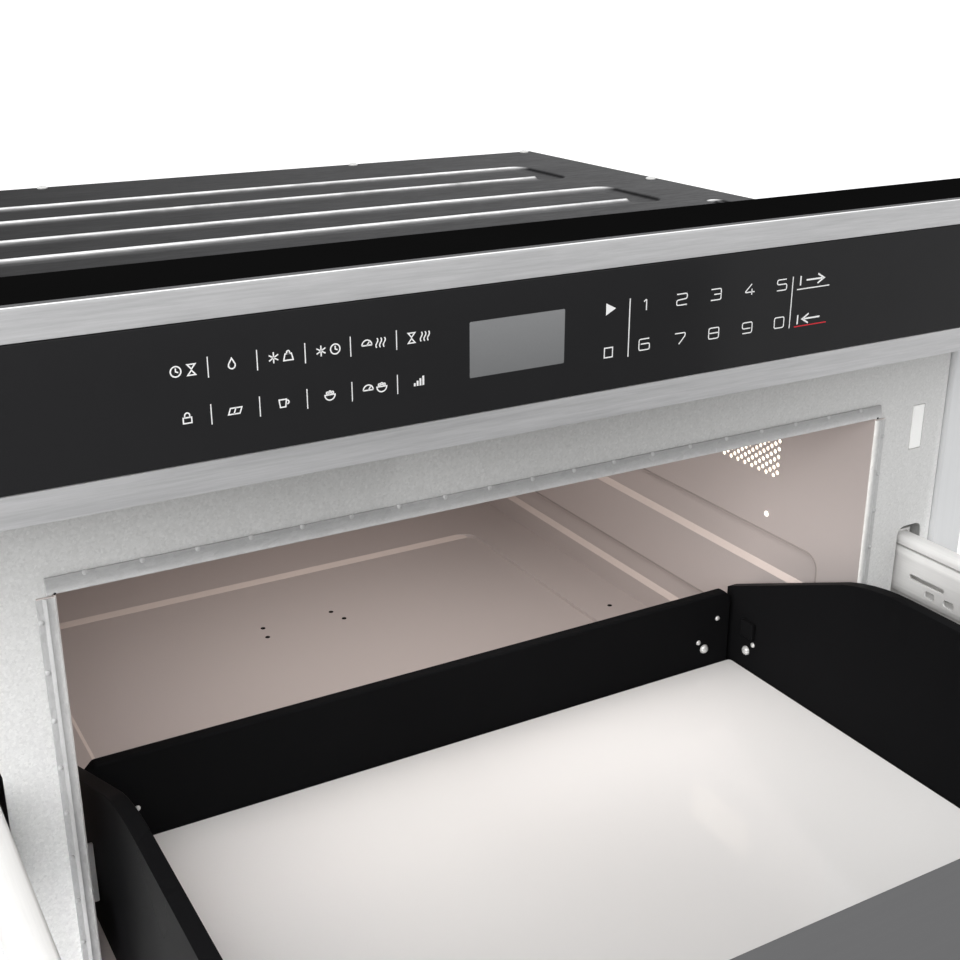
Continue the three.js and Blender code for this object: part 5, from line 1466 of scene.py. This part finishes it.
@dataclass
class Oven:
    """The enamelled cavity, its welded mouth and its lamp."""

    half_width: float = 222.3
    floor: float = 80.0
    roof: float = 280.0
    depth: float = 430.0
    opening: tuple[Point, Point] = ((67.367, 215.65), (136.865, 255.775))
    screen_first: Point = (72.5, 223.9)
    pitch: float = 5.1
    column_step: float = 3.33
    hole: float = 2.75
    screen_sheet: float = 0.8
    columns: int = 18
    rows: int = 6
    channels: tuple[Span, ...] = ((96.0, 117.0), (157.0, 183.0))
    corner: float = 9.0
    panel: Point = (178.5, 378.6)
    panel_depth: float = 2.5
    channel_depth: float = 3.0
    rear_slope: float = 4.4
    side_slope: float = 2.6
    channel_slope: float = 3.6
    bend_width: float = 1.2
    channel_ends: Span = (32.0, 408.0)
    lit_ends: Span = (41.0, 409.0)
    spots: tuple[Point, ...] = (
        (-30.0, 305.0), (-32.0, 291.0), (22.0, 305.0), (26.0, 291.0), (200.0, 210.0))

    def build(self) -> None:
        """Builds the cavity and what is fixed to it."""
        liner = refine("cavity_liner", CAVITY_ENAMEL, self.liner_radius)
        mark(liner.data, "hearth", lambda middle, normal: (
            normal.z > 0.7 and middle.z < self.floor + 5))
        self.slopes()
        self.mouth()
        self.screen()
        self.lamp()
        self.marks()

    def liner_radius(self, middle: Vector, way: Vector) -> float:
        """Wide bends in the cavity's corners, softer ones on what is pressed into its walls."""
        if middle.y < 1.5:
            return 0.3
        walls = (
            abs(abs(middle.x) - self.half_width) < 1 and abs(middle.z - self.floor) < 1,
            abs(middle.y - self.depth) < 1 and abs(middle.z - self.floor) < 1,
            abs(middle.y - self.depth) < 1 and abs(abs(middle.x) - self.half_width) < 1)
        inside = 5 < middle.y < self.depth - 5 and self.floor - 1 < middle.z < self.roof - 5
        channel = any(low - 0.1 < middle.z < high + 0.1 for low, high in self.channels)
        rims = (
            abs(middle.z - self.floor) < 0.1 and abs(middle.x) < self.half_width - 5,
            abs(abs(middle.x) - self.half_width) < 0.1 and channel)
        return 6.0 if any(walls) else (2.0 if inside and any(rims) else 0.5)

    def slopes(self) -> None:
        """The slopes of the pressed floor panel and of the wall channels.

        The foot of each slope is a paler piece, where light falls on it, and the upper bend of a
        channel, with its rounded front corner, is a darker one that turns away from the light.
        """
        floor, low = self.floor, self.floor - self.panel_depth
        half, rear = self.panel
        solid = Solid()
        for edge, width, axis, span in (
                (rear, -self.rear_slope, Axis.X, (-half + 4.6, half - 2)),
                (-half, self.side_slope, Axis.Y, (43.0, rear - 5))):
            solid.prism([(edge, floor), (edge, low), (edge + width, low)], axis, span)
        front, end = self.channel_ends
        bends = Solid()
        for side in Side:
            inner, outer = (
                side.value * (self.half_width + depth) for depth in (0, self.channel_depth))
            for bottom, top in self.channels:
                solid.prism(
                    [(inner, bottom), (outer, bottom), (outer, bottom + self.channel_slope)],
                    Axis.Y, self.lit_ends)
                centre, foot = (front + self.corner, top - self.corner), bottom + 5
                outline = []
                for shift, way in ((0.7, 1), (0.7 - self.bend_width, -1)):
                    line = [(front - shift, foot), *arc(centre, self.corner + shift, 180, 90, 6),
                            (end, top + shift)]
                    outline += line[::way]
                bends.prism(outline, Axis.X, side.across(self.half_width - 0.12, self.half_width))
        settle(solid, "enamel_slopes", LIT_ENAMEL, "cabinet")
        settle(bends, "enamel_bends", SHADED_ENAMEL, "cabinet")

    def mouth(self) -> None:
        """The strips round the mouth with their weld dimples, dark discs painted as the shade of
        its corner holes, and the guides.
        """
        top = self.roof
        edge = Solid().prism(
            [(-0.4, top), (-1.6, top), (-2.3, top + 0.5), (-2.4, top + 1.6), (-2.2, top + 3.2),
             (-1.6, top + 6.2), (-1.25, top + 7.3), (-0.4, top + 7.3)],
            Axis.X, (-self.half_width - 3.8, self.half_width + 3.4))
        piece = settle(edge, "mouth_strip_top", GALVANISED_EDGE, "cabinet", 0.2)
        # Painted light: the strip is paler over its lowest few millimetres.
        fade(piece.data, "low", lambda place: (top + 4.4 - place.z) / 4.0)
        row("mouth_dimples_top", dimple(0.8, 1.25, 1.5), (-210.3, -1.2, 286.2), (23.37, 0.0, 0.0),
            19, MOUTH_BEAD, "cabinet")
        for side, reach in ((Side.LEFT, 0.9), (Side.RIGHT, 1.6)):
            bead = Solid().prism(
                [(side.value * (self.half_width + a), y) for a, y in (
                    (0.1, -0.4), (0.15, -1.3), (0.7, -1.8), (3.3, -1.9), (4.1, -2.5), (4.7, -2.2),
                    (5.5, -1.3), (8.0, -1.25), (8.1, -0.4))], Axis.Z, (self.floor + 1, top - 1.4))
            piece = settle(bead, f"mouth_bead_{side.word}", MOUTH_BEAD, "cabinet", 0.3)
            # Painted highlight: each bead is near white along its inner edge.
            fade(piece.data, "lit", lambda place: (self.half_width + reach - abs(place.x)) / 0.7)
            row(f"mouth_dimples_{side.word}", dimple(0.7, 1.05, 1.2),
                (side.value * 229.2, -1.5, 268.6), (0.0, 0.0, -22.4), 8, MOUTH_BEAD, "cabinet")
        # Painted shade: a dark disc in each top corner of the mouth.
        hole = Solid().turned([(0.2, 0.1), (0.55, 0.1), (0.65, SUNK)])
        places = [
            ((side.value * (self.half_width + 0.6), -2.3, top + 0.5), (0.0, -1.0, 0.0))
            for side in Side]
        scatter("mouth_corner_holes", hole, places, HOLE_SHADE, "cabinet")
        for side in Side:
            guide = Solid().prism(
                rounded(side.across(214.4, 222.2), (107.0, 139.0), 0.6, 2), Axis.Y, (29.4, 30.6),
                [rounded(side.across(216.6, 219.0), (z, z + 4.6), 0.5, 2) for z in (109.0, 115.5)])
            settle(guide, f"basket_guide_{side.word}", GUIDE_STEEL, "cabinet", 0.2)

    def screen(self) -> None:
        """The perforated part of the right wall, flush with it."""
        places = zip(("Low", "High", "First Hole"), (*self.opening, self.screen_first))
        mesh = grow(Repeater.PERFORATION, "lamp_screen_look", {
            **{name: tuple(at(self.half_width, *place)) for name, place in places},
            "Pitch": self.pitch * MM, "Column Step": self.column_step * MM, "Columns": self.columns,
            "Rows": self.rows, "Hole Radius": self.hole / 2 * MM,
            "Thickness": self.screen_sheet * MM, "Finish": CAVITY_ENAMEL.material()})
        dress(mesh, "lamp_screen_look", CAVITY_ENAMEL, "cabinet", 0.0, ["lamp_screen"])

    def lamp(self) -> None:
        """The lamp's housing, a lining that glows as painted light of the bulb, and the bulb."""
        refine("lamp_housing", GALVANISED, 0.3, True)
        refine("lamp_bulb", LIT_GLASS, 0.2)
        across, along, up = (225.2, 249.9), (65.0, 139.0), (213.4, 258.2)
        # Painted light: the lining glows with the bulb's glass finish.
        lining = Solid()
        for x, y, z in (
                ((249.4, 249.9), (64.9, 139.0), up), (across, (64.6, 65.0), up),
                (across, (139.0, 139.4), up), (across, along, (213.0, 213.4)),
                (across, along, (258.2, 258.6))):
            lining.block(x, y, z)
        settle(lining, "lamp_lining", LIT_GLASS, "cabinet")

    def marks(self) -> None:
        """Dark discs painted as the shade of the small openings in the floor, and a white button on
        the right wall that glows as painted light.
        """
        pin = Solid().turned([(0.3, 0.12), (1.7, 0.1), (1.8, SUNK)], sides=14)
        pressed, plain = self.floor - self.panel_depth + 0.05, self.floor + 0.05
        places = [((x, y, pressed if abs(x) < self.panel[0] else plain), (0.0, 0.0, 1.0))
                  for x, y in self.spots]
        scatter("floor_openings", pin, places, HOLE_SHADE, "cabinet")
        # Painted light: the button glows with the lamp glass finish.
        button = ((self.half_width - 0.05, 78.8, 194.6), (-1.0, 0.0, 0.0))
        scatter("wall_button", dome(1.9, 0.7), [button], LIT_GLASS, "cabinet")


# ---------------------------------------------------------------- fascia

@dataclass
class Fascia:
    """The stainless fascia with its black cap, touch glass and signs."""

    glass_face: float = -50.4
    top: float = 407.6
    bend_radius: float = 1.4
    display_x: Span = (-61.2, -16.2)
    display_z: Span = (357.9, 381.0)
    key_x: tuple[float, ...] = (-178.0, -160.0, -141.0, -122.1, -103.2, -84.1)
    divider_x: tuple[float, ...] = (-169.0, -150.3, -131.4, -112.9, -93.5)
    key_rows: tuple[float, ...] = (378.0, 360.2)
    digit_x: tuple[float, ...] = (25.0, 44.2, 63.0, 82.1, 100.9)
    digit_size: Point = (5.6, 4.9)
    sign_half: float = 2.1
    pair_shift: float = 2.9
    divider_half: float = 3.9

    def build(self) -> None:
        """Builds the fascia."""
        self.shell()
        refine("fascia_cap", BLACK_CAP, 0.8)
        refine("control_glass", CONTROL_GLASS, 0.4)
        self.display()
        self.signs()

    def shell(self) -> None:
        """The folded shell, with a painted highlight on its bend and painted shade on its narrow
        top return.
        """
        piece = refine("fascia_shell", STAINLESS, 0.2)
        part_finish(piece, SHADED_TOP_STEEL, lambda middle, normal: (
            normal.z > 0.95 and middle.z > self.top - 0.1))
        part_finish(piece, STAINLESS_HIGHLIGHT, lambda middle, normal: (
            0.62 < normal.z < 0.95 and normal.y < 0 and middle.z > self.top - self.bend_radius))

    def display(self) -> None:
        """The grey display, with a painted glare that makes it lighter towards its upper edge."""
        refine("display_module", DISPLAY_FACE, 0.2)
        low, high = self.display_z
        window = Solid().prism(
            rounded(self.display_x, self.display_z, 0.5, 3), Axis.Y,
            (self.glass_face - 0.06, self.glass_face + 0.1))
        piece = settle(window, "display_window", DISPLAY_FACE, "cabinet")
        fade(piece.data, "glare", lambda place: (place.z - low) / (high - low))

    def signs(self) -> None:
        """The key signs, their dividers and the digits."""
        white = Stencil(self.glass_face)
        upper = ((Sign.CLOCK, Sign.HOURGLASS), (Sign.DROP,), (Sign.FLAKE, Sign.WEIGHT),
                 (Sign.FLAKE, Sign.CLOCK), (Sign.GAUGE, Sign.WAVES), (Sign.HOURGLASS, Sign.WAVES))
        lower = ((Sign.PADLOCK,), (Sign.SLAB,), (Sign.CUP,), (Sign.BOWL,),
                 (Sign.GAUGE, Sign.BOWL), (Sign.BARS,))
        for z, keys in zip(self.key_rows, (upper, lower)):
            for x, pair in zip(self.key_x, keys):
                offsets = (0.0,) if len(pair) == 1 else (-self.pair_shift, self.pair_shift)
                for sign, offset in zip(pair, offsets):
                    sign.draw(white, x + offset, z, self.sign_half)
            for x in self.divider_x:
                white.line([(x, z - self.divider_half), (x, z + self.divider_half)], 0.4)
        for z, numbers in zip((377.9, 360.4), ("12345", "67890")):
            for x, number in zip(self.digit_x, numbers):
                white.digit(number, (x, z), self.digit_size)
        for x, low, high in ((16.6, 356.0, 381.5), (107.3, 356.9, 381.0)):
            white.line([(x, low), (x, high)])
        white.fill([(4.4, 375.6), (9.4, 378.2), (4.4, 380.8)])
        white.line([(4.2, 357.2), (8.4, 357.2), (8.4, 361.4), (4.2, 361.4), (4.2, 357.2)])
        for z, way in ((378.6, 1), (360.4, -1)):
            white.line([(112.0, z + 2.2), (112.0, z - 2.2)], 0.75)
            white.line([(115.5, z), (125.5, z)], 0.75)
            back, tip = 120.5 + 1.9 * way, 120.5 + 5.7 * way
            white.line([(back, z + 2.2), (tip, z), (back, z - 2.2)], 0.75)
        white.line([(110.2, 374.7), (129.8, 374.7)])
        settle(white.solid, "key_signs", PRINT_WHITE, "cabinet")
        red = Stencil(self.glass_face)
        red.line([(110.2, 357.2), (129.8, 357.2)])
        settle(red.solid, "close_underline", PRINT_RED, "cabinet")


# ---------------------------------------------------------------- slides

@dataclass
class Slides:
    """The telescopic rails on both sides, and the interlocks beside them."""

    inside: float = 256.0
    level: float = 180.5
    sheet: float = 1.2
    middle_half: float = 20.4
    lip: float = 2.2
    middle_span: Span = (-160.0, 270.0)
    inner_span: Span = (-334.7, 95.0)
    web_half: float = 10.2
    tab_half: float = 19.5
    long_slots: tuple[Span, ...] = ((-35.0, -9.0), (-215.0, -175.0))
    long_heights: Span = (-2.0, 1.0)
    short_slots: tuple[float, ...] = (-43.0, -29.0, -185.0, -171.0)
    short_heights: Span = (-8.9, -4.9)
    short_length: float = 7.5

    def build(self) -> None:
        """Builds the rails and the interlocks."""
        for side in Side:
            refine(f"slide_outer_{side.word}", RAIL_STEEL, self.rail_radius)
            self.middle(side)
            self.inner(side)
            refine(f"interlock_plunger_{side.word}", LATCH_WHITE, 0.6)
            refine(f"latch_striker_{side.word}", NYLON, 0.3)
            paint(NYLON, f"interlock_housing_{side.word}")

    def rail_radius(self, middle: Vector, way: Vector) -> float:
        """Rolled long edges, and crisp ends and slots."""
        return 1.0 if abs(way.y) > 200 else 0.2

    def rolled(self, side: Side, line: Sequence[Point], span: Span, solid: Solid) -> None:
        """Adds a strip of sheet, bent along a line outwards and upwards from the rail's axis.

        Args:
            side: The side of the drawer.
            line: The middle of the sheet's thickness.
            span: Its two ends along the rail.
            solid: Where it is added.
        """
        left, right = band(line, self.sheet)
        outline = [(side.value * (self.inside + a), self.level + b) for a, b in left + right[::-1]]
        solid.prism(outline, Axis.Y, span)

    def middle(self, side: Side) -> None:
        """The middle rail: a channel with rolled shoulders and lips turned over the inner rail."""
        half = self.middle_half
        upper = [(0.6, half - 4.2), (0.6, half - self.lip), (1.0, half - 0.9), (2.2, half),
                 (9.2, half), (10.2, half - 0.4), (10.6, half - 1.4)]
        solid = Solid()
        self.rolled(side, [*upper, *((a, -b) for a, b in upper[::-1])], self.middle_span, solid)
        name = f"slide_middle_{side.word}"
        settle(solid, f"{name}_look", RAIL_STEEL, frame["nodes"][name]["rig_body"], 0.15, [name])

    def inner(self, side: Side) -> None:
        """The inner rail: a slotted web, its two rolled edges, and the tab screwed to the door."""
        solid = Solid()
        (low, high), (foot, head) = (
            [self.level + z for z in heights]
            for heights in (self.long_heights, self.short_heights))
        slots = [rounded(span, (low, high), 1.4) for span in self.long_slots]
        slots += [rounded((y, y + self.short_length), (foot, head), 1.6) for y in self.short_slots]
        start, end = self.inner_span
        web = [(start, self.level - self.web_half), (end, self.level - self.web_half),
               (end, self.level + self.web_half), (start, self.level + self.web_half)]
        solid.prism(web, Axis.X, side.across(self.inside, self.inside + self.sheet), slots)
        half = self.web_half
        edge = [(0.6, half - 0.3), (0.9, half + 1.8), (2.0, half + 3.3), (3.8, half + 3.7),
                (5.5, half + 2.9), (6.3, half + 1.1), (6.3, half - 1.5)]
        for way in (1, -1):
            self.rolled(side, [(a, way * b) for a, b in edge], self.inner_span, solid)
        solid.block(side.across(self.inside - 20, self.inside + 1), (start, start + 1.5),
                    (self.level - self.tab_half, self.level + self.tab_half))
        name = f"slide_inner_{side.word}"
        settle(solid, f"{name}_look", RAIL_STEEL, "drawer", 0.15, [name])


# ---------------------------------------------------------------- drawer

@dataclass
class Drawer:
    """The door and the basket, which slide out together."""

    basket_half: float = 206.0
    reach: float = 419.0
    door_top: float = 325.5

    def build(self) -> None:
        """Builds the door, the basket and the ceramic floor."""
        self.door()
        self.basket()
        self.fasteners()

    def door(self) -> None:
        """The stainless skin with painted shade on its top, the glass, the black rear and the rack.
        """
        skin = refine("door_skin", STAINLESS, 0.8, True)
        part_finish(skin, SHADED_TOP_STEEL, lambda middle, normal: (
            normal.z > 0.9 and middle.z > self.door_top))
        for node, finish, radius in (
                ("door_glass", SMOKED_GLASS, 0.8), ("door_frame", BLACK_CAP, 0.5),
                ("door_liner", BLACK_CAP, 0.5), ("choke_cover", BLACK_CAP, 0.2),
                ("drive_rack", NYLON, 0.2)):
            refine(node, finish, radius)

    def basket(self) -> None:
        """The folded black walls, the pan and the ceramic floor."""
        for side in Side:
            refine(f"basket_side_{side.word}", BLACK_ENAMEL, self.wall_radius)
            refine(f"corner_bracket_{side.word}", BLACK_ENAMEL, 0.3)
        refine("basket_rear", BLACK_ENAMEL, self.wall_radius)
        refine("basket_pan", BLACK_ENAMEL, 0.25, True)
        refine("ceramic_tray", CERAMIC, 1.2)

    def wall_radius(self, middle: Vector, way: Vector) -> float:
        """Folded edges on top, crisp ones elsewhere."""
        if middle.z > 92 and abs(middle.x) < self.basket_half + 0.4:
            return 1.6
        return 0.6 if middle.z > 92 else 0.3

    def fasteners(self) -> None:
        """The domed screws of the basket's corners, and the catches on its sides."""
        rear, wall = OPEN_REACH + self.reach - 0.05, self.basket_half - 0.05
        front, left, right = (0.0, -1.0, 0.0), (-1.0, 0.0, 0.0), (1.0, 0.0, 0.0)
        scatter("basket_screws_large", dome(3.1, 2.4), [
            ((183.7, rear, 107.7), front), ((wall, 69.3, 107.6), left),
            ((-wall, 69.3, 107.6), right)], SCREW, "drawer")
        scatter("basket_screws_small", dome(1.7, 1.2), [
            ((179.0, rear, 113.2), front), ((193.1, rear, 127.0), front),
            ((wall, 63.5, 113.9), left), ((-180.4, rear, 113.1), front)], SCREW, "drawer")
        for side in Side:
            x = side.across(self.basket_half - 3.2, self.basket_half + 0.1)
            catch = Solid().block(x, (62.0, 73.5), (118.0, 129.0))
            settle(catch, f"corner_catch_{side.word}", BLACK_ENAMEL, "drawer", 1.0)


# ---------------------------------------------------------------- innards

@dataclass
class Innards:
    """What the closed shell hides: the feed, the power parts, the cooling and the drive."""

    finishes: dict[str, Finish] = field(default_factory=lambda: {
        "stirrer_box": GALVANISED, "waveguide": GALVANISED, "stirrer_cover": NYLON,
        "stirrer_motor": ZINC, "stirrer_blade": ZINC, "magnetron": ZINC, "hv_transformer": WINDING,
        "hv_capacitor": ZINC, "air_duct": BLACK_CAP, "fan_frame": BLACK_CAP, "fan_rotor": BLACK_CAP,
        "drive_bracket": ZINC, "drive_motor": ZINC, "drive_pinion": NYLON,
        "control_carrier": BLACK_CAP, "control_board": BOARD_GREEN})

    def build(self) -> None:
        """Dresses the hidden pieces."""
        for node, finish in self.finishes.items():
            paint(finish, node)


def main() -> None:
    """Builds the studio and the sub-assemblies in order."""
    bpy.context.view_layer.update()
    for assembly in (Studio(), Cabinet(), Oven(), Fascia(), Slides(), Drawer(), Innards()):
        log.info("building %s", type(assembly).__name__)
        assembly.build()


if __name__ == "__main__":
    main()
